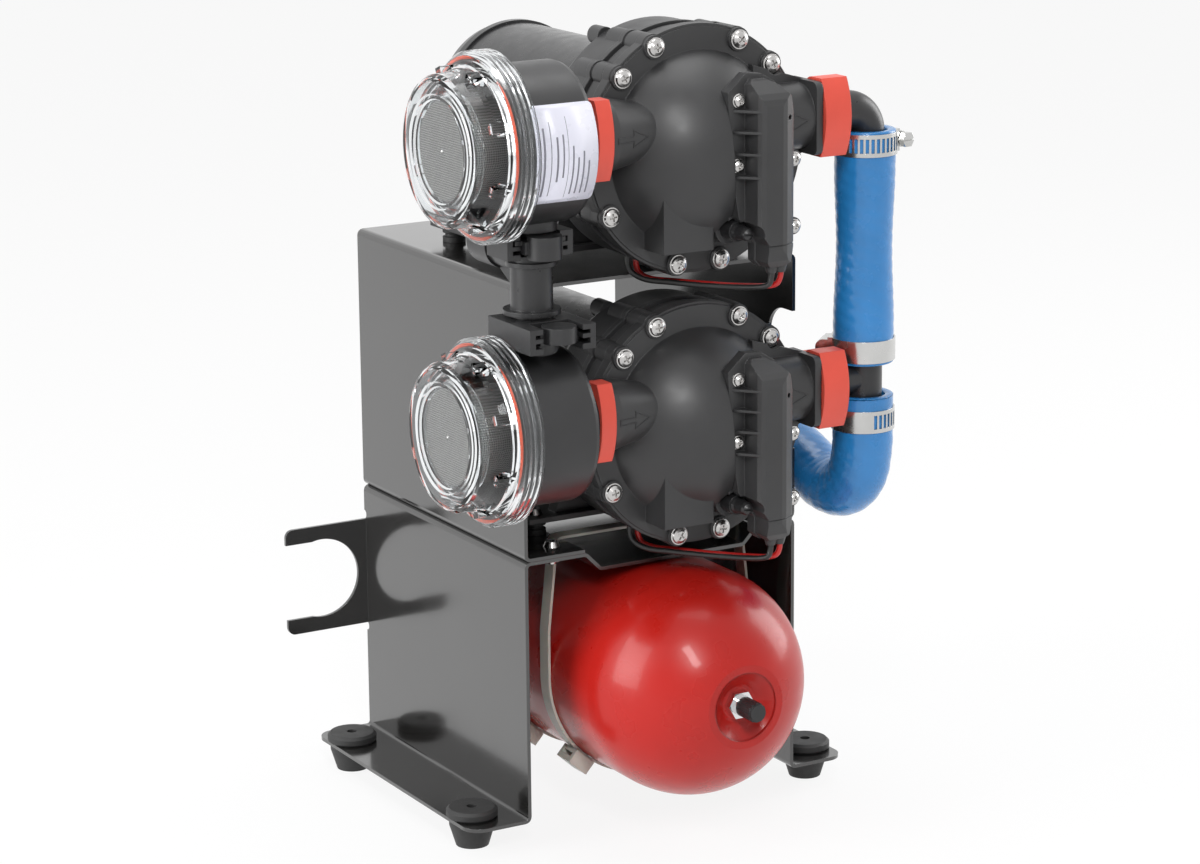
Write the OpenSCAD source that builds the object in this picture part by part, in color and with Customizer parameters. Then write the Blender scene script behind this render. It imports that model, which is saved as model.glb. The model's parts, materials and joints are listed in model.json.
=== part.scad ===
// Twin diaphragm pump set with accumulator tank, strainers and hoses on a bent sheet frame.
// Millimetres. +X to the right and -Y towards the viewer who faces the pump heads, +Z up.
// The origin is on the floor, at the centre of the four foot holes.

/* [Frame] */
// Outside width over the frame's legs
frame_w = 170; // [164:1:190]
// Depth of both bent sheets
frame_d = 191; // [180:1:220]
// Height of the lower frame, from under its foot flanges to the top of its plate
lower_h = 146; // [140:1:170]
// Height of the upper frame, from under its flanges to the top of its plate
upper_h = 149; // [145:1:170]
// Thickness of the sheet steel
sheet_t = 2; // [1.5:0.1:3]
// Inside radius of the sheet's bends
bend_r = 1.6; // [1:0.1:3]
// Reach of the foot flanges beyond the legs
foot_flange = 35; // [30:1:45]
// Gap between the floor and the foot flanges
floor_gap = 14; // [12:1:20]
// Depth of the trough in the lower plate that the tank hangs under
trough_h = 9; // [6:0.5:10]
// Width of the trough's flat bottom
trough_w = 90; // [80:0.5:92]
// Sideways run of each trough wall
trough_run = 9; // [8:0.5:11]
// Height of the notch in the upper frame's legs that clears the strainers
notch_h = 77; // [74:1:90]
// Depth of that notch from the front edge
notch_d = 24; // [20:1:30]
// Radius of the hose holder's slot
holder_r = 23; // [20:0.5:25]
// Reach of the hose holder beyond the leg
holder_reach = 51; // [46:1:60]

/* [Feet] */
// Distance between the foot holes, left to right
foot_x = 215; // [208:1:216]
// Distance between the foot holes, front to back
foot_y = 146; // [130:1:160]
// Radius of the hole through each rubber foot
foot_hole_r = 2.8; // [2.5:0.1:3.5]
// Radius of each rubber foot's widest ring
foot_r = 14; // [12:0.5:15]
// Radius of each rubber foot where it meets the floor
foot_base_r = 9; // [7:0.5:11]
// Radius of each rubber foot's neck in the sheet
foot_neck_r = 8; // [6:0.5:9]

/* [Tank] */
// Outside radius of the tank
tank_r = 63; // [58:0.5:64]
// Length of the tank's straight wall
tank_straight = 110; // [95:1:120]
// Thickness of the tank wall
tank_wall = 1.5; // [1:0.1:2.5]
// Radius of the dimple round the air valve
dimple_r = 23; // [20:0.5:26]
// Width of each strap
strap_w = 9; // [6:0.5:12]
// Thickness of each strap
strap_t = 1.5; // [1:0.1:2]
// Radius of the tank tee's thread for the house pipe
outlet_thread_r = 10.48; // [9:0.01:13.2]
// Length of that thread
outlet_thread_len = 15; // [12:1:20]

/* [Pumps] */
// Distance of the pumps and the tank to the right of the frame's middle
line_x = 6.5; // [4:0.5:8]
// Height of a pump's axis over the sheet that it stands on
pump_rise = 68; // [67:0.5:72]
// Distance that the head flange stands in front of the frame
head_overhang = 25.5; // [24:0.5:30]
// Radius of the head flange
head_r = 65.5; // [64.5:0.5:66.5]
// Thickness of the head flange
head_flange_t = 8; // [7:0.5:10]
// Radius of the head's dome where it meets the flange
dome_r = 52; // [50:0.5:53]
// Height of the head's dome in front of the flange
dome_h = 35; // [32:0.5:38]
// Thickness of the valve plate
valve_plate_t = 10; // [8:0.5:14]
// Thickness of the diaphragm's rim
diaphragm_t = 2.5; // [2:0.1:4]
// Radius of the drive housing
housing_r = 64; // [62:0.5:64]
// Length of the drive housing
housing_len = 38; // [36:0.5:40]
// Radius of the circle that the head screws are on
screw_circle_r = 61; // [60:0.5:62]
// Radius of the motor
motor_r = 44.5; // [42:0.5:46]
// Length of the motor's steel can
motor_len = 134; // [120:1:140]
// Radius of the rotor's shaft
shaft_r = 4; // [3:0.1:5]
// Running clearance between shaft and bearing
shaft_gap = 0.05; // [0.02:0.01:0.1]
// Tilt of the wobble plate in degrees
wobble_tilt = 3; // [1:0.5:4]
// Spacing of a pump's four grommets, left to right
mount_x = 123; // [121:1:125]
// Spacing of a pump's four grommets, front to back
mount_y = 87; // [80:1:95]
// Height of a pump's grommets
grommet_h = 8; // [6:0.5:10]

/* [Ports] */
// Height of the port line over the pump's axis
port_rise = 13.4; // [12:0.2:15]
// Distance that the port line lies in front of the flange's face
port_forward = 5; // [4:0.5:7]
// Outside radius of the head's port bosses
port_r = 20; // [18:0.5:21]
// Radius of the socket in each port boss
socket_r = 13; // [11:0.1:14]
// Radial gap round a spigot in its socket
spigot_gap = 0.2; // [0.1:0.05:0.4]
// Distance from the pump's axis to the end of the inlet boss
inlet_reach = 64.5; // [62:0.5:68]
// Distance from the pump's axis to the end of the outlet boss
outlet_reach = 63; // [61:0.5:66]
// Width of the red clip on each inlet
inlet_clip_w = 8.8; // [7:0.2:11]
// Width of the red clip on each outlet
outlet_clip_w = 16; // [12:0.5:18]
// Height of the red clips
clip_h = 41.6; // [40:0.2:44]

/* [Strainers] */
// Outside radius of the strainer body
strainer_r = 41.2; // [40:0.1:42]
// Length of the strainer body, from its shoulder to its rim
strainer_len = 46.5; // [44:0.5:52]
// Wall thickness of the strainer's mouldings
strainer_wall = 3; // [2:0.1:4]
// Outside radius of the clear cap's collar
cap_r = 49; // [48.8:0.1:50]
// Length of the clear cap in front of its shoulder
cap_nose = 20.5; // [18:0.5:22]
// Radius of the clear cap's nose
cap_nose_r = 38; // [37:0.5:40]
// Radius of the mesh basket
basket_r = 25; // [23:0.5:26]
// Travel of the cap as it unscrews
cap_travel = 4.5; // [3:0.5:6]

/* [Pipework] */
// Outside radius of the suction pipe
pipe_r = 11; // [10:0.5:12]
// Radius of the suction pipe's bore
pipe_bore_r = 8.2; // [7:0.1:9]
// Radius of the thread in the suction inlet
inlet_thread_r = 10.5; // [9:0.05:11]
// Length of the suction branch behind the pipe
branch_len = 46; // [42:1:60]
// Outside radius of the moulded outlet fittings
fitting_r = 10.4; // [10:0.1:11]
// Outside radius of the hoses
hose_r = 16.5; // [15:0.5:17]
// Outside radius of the upper hose at its waist
hose_waist_r = 15.2; // [14:0.1:16.5]
// Distance of the hoses to the right of the pump's axis
hose_x = 102.5; // [101.5:0.5:104]
// Width of a hose clamp's band
band_w = 12; // [9:0.5:13]

/* [Hidden] */

$fn = 64;
// Gap between curved faces of pieces that don't move together
free_gap = 0.3;
// A cut runs this far past the face that it opens
cut = 1;

// Heights of the frame's faces
lower_top = floor_gap + lower_h;
lower_seat = lower_top + sheet_t;
upper_top = lower_top + upper_h;
leg_x = frame_w / 2;
front_y = -frame_d / 2;
// The two pumps: 0 is the lower, 1 the upper
pump_z = [lower_seat + pump_rise, upper_top + pump_rise];
port_z = [for (z = pump_z) z + port_rise];
head_y = front_y - head_overhang;
port_y = head_y - port_forward;

// Trough and the flat strips beside it
trough_left = line_x - trough_w / 2;
trough_right = line_x + trough_w / 2;
strip_left = trough_left - trough_run;
strip_right = trough_right + trough_run;
strip_margin = 0.7;

// Bolts that hold the two frames together
bolt_r = 2.5;
bolt_hole_r = 2.75;
bolt_head_r = 4.6;
bolt_head_h = 3;
nut_r = 4.6;
nut_h = 4;
frame_bolt_x = 66.5;
frame_bolt_y = front_y + 15.5;
mount_front_y = front_y + 43.5;
mount_ys = [mount_front_y, mount_front_y + mount_y];

// Straps
strap_ys = [front_y + 28.5, front_y + 85.5];
strap_slot_x = 58.6;
strap_gap = 0.2;
tank_z = lower_top - trough_h - sheet_t - tank_r - 1;
tank_front = port_y + 15;
tank_rear = tank_front + tank_straight;

// Sheet outline helpers: a path of corners becomes a strip of even thickness with round bends
function turn_of(a, b) = atan2(a.x * b.y - a.y * b.x, a.x * b.x + a.y * b.y);
function unit2(v) = v / norm(v);
function spin2(v, a) = [v.x * cos(a) - v.y * sin(a), v.x * sin(a) + v.y * cos(a)];
function corner_arc(p, c, n, r, side, half_t) =
    let (a = unit2(c - p), b = unit2(n - c), t = turn_of(a, b), k = sign(t))
    let (normal = [-a.y, a.x], centre = c - a * r * tan(abs(t) / 2) + normal * k * r)
    let (steps = max(4, round(abs(t) * r / 150)))
    [for (i = [0:steps]) centre + spin2(-normal * k, t * i / steps) * (r - side * k * half_t)];
function strip_side(path, radii, side, half_t) =
    let (last = len(path) - 1, a = unit2(path[1] - path[0]), b = unit2(path[last] - path[last - 1]))
    concat(
        [path[0] + side * half_t * [-a.y, a.x]],
        [for (i = [1:last - 1]) each corner_arc(path[i - 1], path[i], path[i + 1], radii[i - 1], side, half_t)],
        [path[last] + side * half_t * [-b.y, b.x]]
    );
function reversed(list) = [for (i = [len(list) - 1:-1:0]) list[i]];
function strip_outline(path, radii, t) =
    concat(strip_side(path, radii, 1, t / 2), reversed(strip_side(path, radii, -1, t / 2)));

// A profile in X and Z, drawn from y0 to y1
module along_y(y0, y1) {
    translate([0, y1, 0]) rotate([90, 0, 0]) linear_extrude(y1 - y0) children();
}

// A cylinder along Y or X
module rod_y(r, y0, y1) {
    translate([0, y0, 0]) rotate([-90, 0, 0]) cylinder(r = r, h = y1 - y0);
}
module rod_x(r, x0, x1) {
    translate([x0, 0, 0]) rotate([0, 90, 0]) cylinder(r = r, h = x1 - x0);
}

// A profile of radius and length, turned about Y
module turned_y() {
    rotate([-90, 0, 0]) rotate_extrude() children();
}

// A profile of radius and length, turned about an axis that points along -X
module turned_out() {
    rotate([0, -90, 0]) rotate_extrude() children();
}

module at_pump(k) {
    translate([line_x, head_y, pump_z[k]]) children();
}

// The far end of a strainer's spigot line, at the end of the inlet boss
module at_inlet(k) {
    translate([line_x - inlet_reach, port_y, port_z[k]]) children();
}

module at_outlet(k) {
    translate([line_x + outlet_reach, port_y, port_z[k]]) children();
}

// Rounded rectangle from corner a to corner b
module round_rect(a, b, r) {
    x = [a.x + r, b.x - r];
    y = [a.y + r, b.y - r];
    for (i = x) for (j = y) translate([i, j]) circle(r = r, $fn = 32);
    translate([a.x + r, a.y]) square([b.x - a.x - 2 * r, b.y - a.y]);
    translate([a.x, a.y + r]) square([b.x - a.x, b.y - a.y - 2 * r]);
}

// Tube swept along a list of points, with rings square to the path
function unit3(v) = v / norm(v);
function tangent(p, i) =
    i == 0 ? unit3(p[1] - p[0]) :
    i == len(p) - 1 ? unit3(p[i] - p[i - 1]) : unit3(unit3(p[i + 1] - p[i]) + unit3(p[i] - p[i - 1]));
function side_of(t, guide) = unit3(cross(t, guide));
module swept_tube(p, r, sides, guide) {
    rings = [for (i = [0:len(p) - 1])
        let (t = tangent(p, i), u = side_of(t, guide), w = cross(t, u))
        for (j = [0:sides - 1]) p[i] + r * (cos(360 * j / sides) * u + sin(360 * j / sides) * w)];
    n = len(p);
    walls = [for (i = [0:n - 2]) for (j = [0:sides - 1])
        let (a = i * sides + j, b = i * sides + (j + 1) % sides) each [
            [a, b, b + sides], [a, b + sides, a + sides]]];
    ends = [[for (j = [0:sides - 1]) sides - 1 - j], [for (j = [0:sides - 1]) (n - 1) * sides + j]];
    polyhedron(points = rings, faces = [for (f = concat(walls, ends)) reversed(f)], convexity = 8);
}

// Smooth points between hand-picked ones
function blend4(a, b, c, d, t) =
    0.5 * (2 * b + (c - a) * t + (2 * a - 5 * b + 4 * c - d) * t * t + (3 * b - a - 3 * c + d) * t * t * t);
function smooth(p, n) = concat(
    [for (i = [0:len(p) - 2]) for (j = [0:n - 1])
        blend4(p[max(i - 1, 0)], p[i], p[i + 1], p[min(i + 2, len(p) - 1)], j / n)],
    [p[len(p) - 1]]);

// Frame

lower_mid = lower_top - sheet_t / 2;
trough_mid = lower_mid - trough_h;
flange_mid = floor_gap + sheet_t / 2;
leg_mid = leg_x - sheet_t / 2;
bend_mid = bend_r + sheet_t / 2;
lower_path = [
    [-leg_x - foot_flange, flange_mid], [-leg_mid, flange_mid], [-leg_mid, lower_mid],
    [strip_left, lower_mid], [trough_left, trough_mid], [trough_right, trough_mid],
    [strip_right, lower_mid], [leg_mid, lower_mid], [leg_mid, flange_mid],
    [leg_x + foot_flange, flange_mid]
];
upper_mid = upper_top - sheet_t / 2;
seat_mid = lower_top + sheet_t / 2;
upper_path = [
    [strip_left - strip_margin, seat_mid], [-leg_mid, seat_mid], [-leg_mid, upper_mid],
    [leg_mid, upper_mid], [leg_mid, seat_mid], [strip_right + strip_margin, seat_mid]
];

// Hose holder, a fork bent out from the back edge of the left leg
holder_z = 109;
holder_h = 62;
holder_slot_x = leg_x + 5.7 + holder_r;
holder_relief_r = 2.5;
holder_tip_r = 4.5;
module hose_holder() {
    x1 = leg_x + holder_reach;
    along_y(-front_y - sheet_t, -front_y) difference() {
        translate([-x1, holder_z - holder_h / 2]) square([x1 - leg_x + sheet_t / 2, holder_h]);
        translate([-holder_slot_x, holder_z]) circle(r = holder_r);
        translate([-x1 - cut, holder_z - holder_r + 0.8]) square([x1 - holder_slot_x + cut, 2 * holder_r - 1.6]);
        for (s = [-1, 1]) translate([-x1, holder_z + s * holder_h / 2]) difference() {
            square(2 * holder_tip_r, center = true);
            translate([holder_tip_r, -s * holder_tip_r]) circle(r = holder_tip_r, $fn = 32);
        }
    }
}

module strap_slots(z0, z1) {
    for (y = strap_ys) for (s = [-1, 1])
        translate([line_x + s * strap_slot_x - 2.2, y - strap_w / 2 - 0.6, z0])
            cube([4.4, strap_w + 1.2, z1 - z0]);
}

module frame_bolt_places() {
    for (s = [-1, 1]) for (t = [-1, 1])
        translate([line_x + s * frame_bolt_x, t * frame_bolt_y, 0]) children();
}

module mount_places() {
    for (s = [-1, 1]) for (y = mount_ys) translate([line_x + s * mount_x / 2, y, 0]) children();
}

module foot_places() {
    for (s = [-1, 1]) for (t = [-1, 1]) translate([s * foot_x / 2, t * foot_y / 2, 0]) children();
}

flange_corner = 10;
module lower_frame() {
    color([0.10, 0.10, 0.11]) {
        difference() {
            along_y(front_y, -front_y)
                polygon(strip_outline(lower_path, [for (i = [1:8]) bend_mid], sheet_t));
            foot_places() translate([0, 0, floor_gap - cut]) cylinder(r = foot_neck_r, h = sheet_t + 2 * cut);
            for (s = [-1, 1]) for (t = [-1, 1])
                translate([s * (leg_x + foot_flange - flange_corner), t * (-front_y - flange_corner), floor_gap - cut])
                    difference() {
                        translate([s > 0 ? 0 : -2 * flange_corner, t > 0 ? 0 : -2 * flange_corner, 0])
                            cube([2 * flange_corner, 2 * flange_corner, sheet_t + 2 * cut]);
                        translate([0, 0, -cut]) cylinder(r = flange_corner, h = sheet_t + 4 * cut);
                    }
            frame_bolt_places() translate([0, 0, lower_top - sheet_t - cut])
                cylinder(r = bolt_hole_r, h = sheet_t + 2 * cut);
            mount_places() translate([0, 0, lower_top - sheet_t - cut])
                cylinder(r = bolt_hole_r, h = sheet_t + 2 * cut);
            strap_slots(lower_top - sheet_t - cut, lower_top + cut);
            for (s = [-1, 1]) translate([-leg_x - cut, -front_y, holder_z + s * (holder_h / 2 + holder_relief_r)])
                rotate([0, 90, 0]) cylinder(r = holder_relief_r, h = sheet_t + 2 * cut);
        }
        hose_holder();
    }
}

notch_z = lower_top + 40;
notch_round = 15;
module upper_frame() {
    color([0.10, 0.10, 0.11]) difference() {
        along_y(front_y, -front_y)
            polygon(strip_outline(upper_path, [for (i = [1:4]) bend_mid], sheet_t));
        translate([-leg_x - cut, 0, 0]) rotate([90, 0, 90]) linear_extrude(frame_w + 2 * cut) {
            translate([front_y - cut, notch_z + notch_round])
                square([notch_d + cut, notch_h - 2 * notch_round]);
            translate([front_y - cut, notch_z]) square([notch_d - notch_round + cut, notch_h]);
            for (z = [notch_z + notch_round, notch_z + notch_h - notch_round])
                translate([front_y + notch_d - notch_round, z]) circle(r = notch_round);
        }
        frame_bolt_places() translate([0, 0, lower_top - cut]) cylinder(r = bolt_hole_r, h = sheet_t + 2 * cut);
        mount_places() for (z = [lower_top, upper_top - sheet_t])
            translate([0, 0, z - cut]) cylinder(r = bolt_hole_r, h = sheet_t + 2 * cut);
        strap_slots(lower_top - cut, lower_top + sheet_t + cut);
    }
}

// Bolt with a round head above and a hexagon nut below
module bolt(z_head, z_nut) {
    translate([0, 0, z_nut - nut_h - 1.5]) cylinder(r = bolt_r, h = z_head - z_nut + nut_h + 1.5 + cut);
    translate([0, 0, z_head]) difference() {
        cylinder(r1 = bolt_head_r, r2 = bolt_head_r - 1.2, h = bolt_head_h);
        translate([0, 0, bolt_head_h - 1.6]) cylinder(r = 1.7, h = 2 * cut, $fn = 6);
    }
    translate([0, 0, z_nut - nut_h]) cylinder(r = nut_r, h = nut_h, $fn = 6);
}

base_t = 3;
module frame_bolts() {
    color([0.72, 0.73, 0.75]) {
        frame_bolt_places() bolt(lower_seat, lower_top - sheet_t);
        mount_places() {
            bolt(lower_seat + grommet_h + base_t, lower_top - sheet_t);
            bolt(upper_top + grommet_h + base_t, upper_top - sheet_t);
        }
    }
}

foot_collar_h = 5.5;
module rubber_feet() {
    color([0.09, 0.09, 0.09]) foot_places() rotate_extrude() polygon([
        [foot_hole_r, 0], [foot_base_r, 0], [foot_r - 1.5, floor_gap - 2.5], [foot_r - 1.5, floor_gap],
        [foot_neck_r, floor_gap], [foot_neck_r, floor_gap + sheet_t], [foot_r - 1, floor_gap + sheet_t],
        [foot_r, floor_gap + sheet_t + 1], [foot_r, floor_gap + sheet_t + foot_collar_h - 1.5],
        [foot_r - 1.5, floor_gap + sheet_t + foot_collar_h], [foot_hole_r, floor_gap + sheet_t + foot_collar_h]
    ]);
}

// Tank, along Y with the air valve in front

valve_hole_r = 4.2;
valve_seat_y = -tank_r + 13;
rear_hole_r = 9;
module at_tank() {
    translate([line_x, tank_front, tank_z]) children();
}

// Half outline of a tank of radius r whose straight wall starts at 0
module tank_half(r, straight) {
    difference() {
        union() {
            circle(r = r);
            translate([0, straight]) circle(r = r);
            square([r, straight]);
        }
        translate([-2 * r, -2 * r]) square([2 * r, straight + 4 * r]);
    }
}

module tank_shell() {
    color([0.62, 0.05, 0.05]) at_tank() turned_y() difference() {
        union() {
            difference() {
                tank_half(tank_r, tank_straight);
                tank_half(tank_r - tank_wall, tank_straight);
                translate([0, -tank_r - cut]) square([dimple_r, dimple_depth + cut]);
            }
            // The dimple's sloping wall and flat floor round the air valve
            dimple_wall();
            translate([0, tank_straight + tank_r - 4]) square([14, 6]);
        }
        translate([0, -tank_r - cut]) square([valve_hole_r, tank_r]);
        translate([0, tank_straight]) square([rear_hole_r, tank_r + 2 + cut]);
    }
}

dimple_depth = tank_r - sqrt(tank_r * tank_r - dimple_r * dimple_r);
module dimple_wall() {
    edge_y = dimple_depth - tank_r;
    polygon([
        [dimple_r + 1.4, edge_y + 0.6], [dimple_r - 1, edge_y + 0.35], [dimple_r - 4.5, edge_y + 1.6],
        [14, valve_seat_y - 3.2], [10.5, valve_seat_y - 0.7], [9, valve_seat_y], [0, valve_seat_y],
        [0, valve_seat_y + tank_wall], [9.4, valve_seat_y + tank_wall], [11.5, valve_seat_y + 0.8],
        [15, valve_seat_y - 1.6], [dimple_r - 3.6, edge_y + 3.2], [dimple_r - 0.4, edge_y + 2],
        [dimple_r + 2.6, edge_y + 2.4]
    ]);
}

bladder_gap = 2.5;
module tank_bladder() {
    inner = tank_r - tank_wall - bladder_gap;
    color([0.15, 0.13, 0.12]) at_tank() turned_y() difference() {
        union() {
            translate([0, 20]) tank_half(inner, tank_straight - 20);
            translate([0, tank_straight]) square([rear_hole_r - free_gap, tank_r]);
        }
        translate([0, 20]) tank_half(inner - 2, tank_straight - 20);
        translate([0, tank_straight]) square([rear_hole_r - 2.5, tank_r + cut]);
    }
}

stem_r = 3.9;
stem_bore_r = 1.5;
stem_len = 16;
module tank_air_valve() {
    color([0.80, 0.81, 0.83]) at_tank() translate([0, valve_seat_y, 0]) difference() {
        union() {
            rod_y(stem_r, -stem_len, tank_wall + 4);
            rotate([90, 0, 0]) cylinder(r = 8, h = 5, $fn = 6);
            rod_y(5.6, -7.5, 0);
            translate([0, tank_wall, 0]) rotate([-90, 0, 0]) cylinder(r = 7.5, h = 3, $fn = 6);
        }
        rod_y(stem_bore_r, -stem_len - cut, tank_wall + 4 + cut);
    }
}

core_travel = 1.5;
module tank_valve_core() {
    color([0.75, 0.62, 0.30]) at_tank() translate([0, valve_seat_y, 0]) {
        rod_y(0.8, -stem_len + 0.4, -2);
        rod_y(stem_bore_r - free_gap, -9, -5);
    }
}

cap_len = 12.5;
module tank_valve_cap() {
    color([0.08, 0.08, 0.08]) at_tank() translate([0, valve_seat_y, 0]) difference() {
        union() {
            rod_y(5.1, -stem_len - 4, -stem_len - 4 + cap_len);
            rod_y(4.6, -stem_len - 5, -stem_len - 3);
            for (i = [0:11]) rotate([0, i * 30, 0])
                translate([4.8, -stem_len - 3.4, -0.55]) cube([0.6, cap_len - 1.2, 1.1]);
        }
        rod_y(stem_r + free_gap, -stem_len - 0.4, 0);
    }
}

strap_r = tank_r + strap_gap + strap_t / 2;
strap_top = lower_seat + strap_gap + strap_t / 2 - tank_z;
strap_shoulder = 26;
strap_path = [
    [-2, strap_top], [-strap_slot_x + 0.4, strap_top], [-strap_r, strap_shoulder], [-strap_r, -strap_r],
    [strap_r, -strap_r], [strap_r, strap_shoulder], [strap_slot_x - 0.4, strap_top], [2, strap_top]
];
buckle_angle = 228;
module tank_straps() {
    color([0.80, 0.79, 0.74]) for (y = strap_ys) translate([line_x, 0, tank_z]) {
        along_y(y - strap_w / 2, y + strap_w / 2) {
            polygon(strip_outline(strap_path, [3, 8, strap_r, strap_r, 8, 3], strap_t));
            translate([-3, strap_top - strap_t / 2]) square([6, strap_t]);
        }
        rotate([0, -buckle_angle, 0]) difference() {
            translate([strap_r + strap_t / 2 - 0.2, y - strap_w / 2 - 2.5, -7]) cube([8, strap_w + 5, 14]);
            translate([strap_r + strap_t / 2 + 2.5, y - strap_w / 2, -7 - cut]) cube([2.2, strap_w, 14 + 2 * cut]);
        }
    }
}

// Tee behind the tank: tank port in front, hose tail to the right, threaded end to the left
tee_y = -front_y + hose_r + 2.5;
tee_neck = tee_y - tank_rear - tank_r - 2;
tee_body_r = 13.5;
tail_r = 11.5;
hose_bore_r = tail_r + 0.4;
tail_len = 26;
tail_start = 15;
module hose_tail() {
    cylinder(r = tail_r - 1, h = tail_len);
    for (i = [0:2]) translate([0, 0, tail_len - 6 * (i + 1)]) cylinder(r1 = tail_r, r2 = tail_r - 1, h = 5);
}
module tank_tee() {
    run = tail_start + outlet_thread_len;
    color([0.11, 0.11, 0.11]) translate([line_x, tee_y, tank_z]) difference() {
        union() {
            rod_x(tee_body_r, -tail_start, tail_start);
            rod_x(outlet_thread_r, -run, -tail_start + 2);
            translate([tail_start - 2, 0, 0]) rotate([0, 90, 0]) hose_tail();
            rod_y(tee_body_r - 0.5, -17, 0);
            rod_y(10.5, 0.3 - tee_neck, -16);
            translate([0, 9.3 - tee_neck, 0]) rotate([90, 0, 0]) cylinder(r = 14.5, h = 9, $fn = 6);
            rod_y(rear_hole_r - 2.8, -tee_neck - 12, -tee_neck + 2);
        }
        rod_x(7.5, -run - cut, tail_start + tail_len + cut);
        rod_y(4.5, -tee_neck - 12 - cut, 0);
    }
}

// Pump pieces, each in its own pump's frame: y is 0 at the front face of the head flange

screw_angles = [42.6, 65.7, 115, 138, 210, 258, 283, 330];
screw_r = 2.5;
screw_hole_r = 2.8;
screw_head_r = 5.2;
screw_boss_r = 6.6;
screw_depth = 38;
head_wall = 4;
valve_y = head_flange_t;
diaphragm_y = valve_y + valve_plate_t;
housing_y = diaphragm_y + diaphragm_t;
motor_y = housing_y + housing_len;
motor_end_y = motor_y + motor_len;
module screw_places() {
    for (a = screw_angles) rotate([0, -a, 0]) translate([screw_circle_r, 0, 0]) children();
}

// Round plate from y0 to y1 with an ear round each screw hole
module eared_plate(r, ear, y0, y1) {
    along_y(y0, y1) difference() {
        union() {
            circle(r = r);
            for (a = screw_angles) rotate(a) translate([screw_circle_r, 0]) circle(r = ear);
        }
        for (a = screw_angles) rotate(a) translate([screw_circle_r, 0]) circle(r = screw_hole_r);
    }
}

// Outline of the pressure switch, in X and Z from the pump's axis
switch_outline = [
    [0.3, 33], [11, 42.5], [21, 41.5], [28, 37.5], [33.5, 31], [35.8, 22], [35.8, -49], [33, -56.5], [28, -59.5],
    [20, -59.5], [16.5, -56], [16.5, -47], [7, -33], [2.5, -8]
];
switch_back = -24;
switch_plate_front = -30.5;
switch_front = -44;
adjuster_x = 9;
adjuster_z = -40.5;
adjuster_r = 5.4;
dome_ball_r = (dome_r * dome_r + dome_h * dome_h) / (2 * dome_h);
module dome(extra) {
    intersection() {
        translate([0, dome_ball_r - dome_h, 0]) sphere(r = dome_ball_r + extra, $fn = 96);
        rod_y(dome_r + 10, -dome_h - 10, 2);
    }
}

// Outlet of the head: a boss that widens to a square collar
collar_t = 4;
// Beyond this the port bosses reach back past the flange, into recesses of the valve plate
boss_back_x = 45.5;
module head_cover_part() {
    color([0.16, 0.16, 0.17]) difference() {
        union() {
            difference() {
                head_outside();
                // Room for the switch, which sits in a pocket of the dome
                along_y(-dome_h - 2, switch_back) switch_pocket(free_gap);
                // Inlet side of the water space
                intersection() {
                    translate([0, dome_ball_r - dome_h, 0]) sphere(r = dome_ball_r - head_wall, $fn = 96);
                    rod_y(dome_r - head_wall, switch_back + head_wall, head_flange_t + cut);
                }
            }
            // Outlet chamber in the middle and its duct to the right
            rod_y(20, switch_back + 1, head_flange_t);
            translate([0, -port_forward, port_rise]) rod_x(10.5, 10, dome_r);
        }
        rod_y(17, switch_back + head_wall, head_flange_t + cut);
        translate([0, -port_forward, port_rise]) {
            rod_x(socket_r, -inlet_reach - cut, -inlet_reach + 16);
            rod_x(socket_r, outlet_reach - 16, outlet_reach + cut);
            rod_x(8, -inlet_reach, -24);
            rod_x(8, 10, outlet_reach);
        }
        screw_places() {
            rod_y(screw_hole_r, -2 - cut, head_flange_t + cut);
            rod_y(screw_head_r + free_gap, -10, -1.5);
        }
        translate([0, -port_forward, port_rise]) {
            rod_x(clip_h / 2 + 1.5, -inlet_reach - 5, -inlet_reach);
            rod_x(clip_h / 2 + 1.5, outlet_reach, outlet_reach + 5);
        }
        translate([adjuster_x, 0, adjuster_z]) {
            rod_y(adjuster_r + 1.4, -dome_h, -17);
            rod_y(adjuster_r - 2 + free_gap, -17 - cut, -8);
        }
        for (p = switch_screws) translate([p.x, 0, p.y]) rod_y(1.9, switch_back - cut, switch_back + 9);
    }
}

foot_front = -20;
module head_outside() {
    dome(0);
    eared_plate(head_r, screw_boss_r, 1, head_flange_t);
    rod_y(head_r - 1.5, 0, 3);
    screw_places() rod_y(screw_boss_r - 0.4, -1.5, 3);
    // Inlet and outlet bosses
    difference() {
        translate([0, -port_forward, port_rise]) {
            turned_out() polygon([
                [0, 20], [11, 20], [port_r - 0.5, inlet_reach - 5], [port_r - 0.5, inlet_reach], [0, inlet_reach]
            ]);
            rod_x(port_r - 2, 20, outlet_reach);
        }
        translate([-boss_back_x, head_flange_t - 1, -50]) cube([2 * boss_back_x, 20, 100]);
    }
    translate([0, -port_forward, port_rise]) {
        rotate([90, 0, 90]) translate([0, 0, outlet_reach - collar_t]) linear_extrude(collar_t)
            round_rect([-port_r + 1, -port_r + 0.6], [12, port_r - 0.6], 4);
    }
    // Ribs from the collar to the flange
    along_y(-port_forward - 2, -port_forward + 2) polygon([
        [30, port_rise + port_r + 9], [outlet_reach, port_rise + port_r - 1],
        [outlet_reach, port_rise - port_r + 1], [36, port_rise - port_r - 12]
    ]);
    // Flat-fronted foot of the dome
    translate([-32, foot_front, -50]) cube([30, 1 - foot_front, 35]);
    // Pads behind the pressure switch, its lugs and its adjuster
    along_y(switch_back, 2) translate([19, -8]) round_rect([-14, -38], [13, 38], 8);
    for (p = [2, 3]) translate([switch_screws[p].x, 0, switch_screws[p].y]) rod_y(5, switch_back, 2);
    translate([adjuster_x, 0, adjuster_z]) rod_y(8, -17, 0);
}

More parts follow.
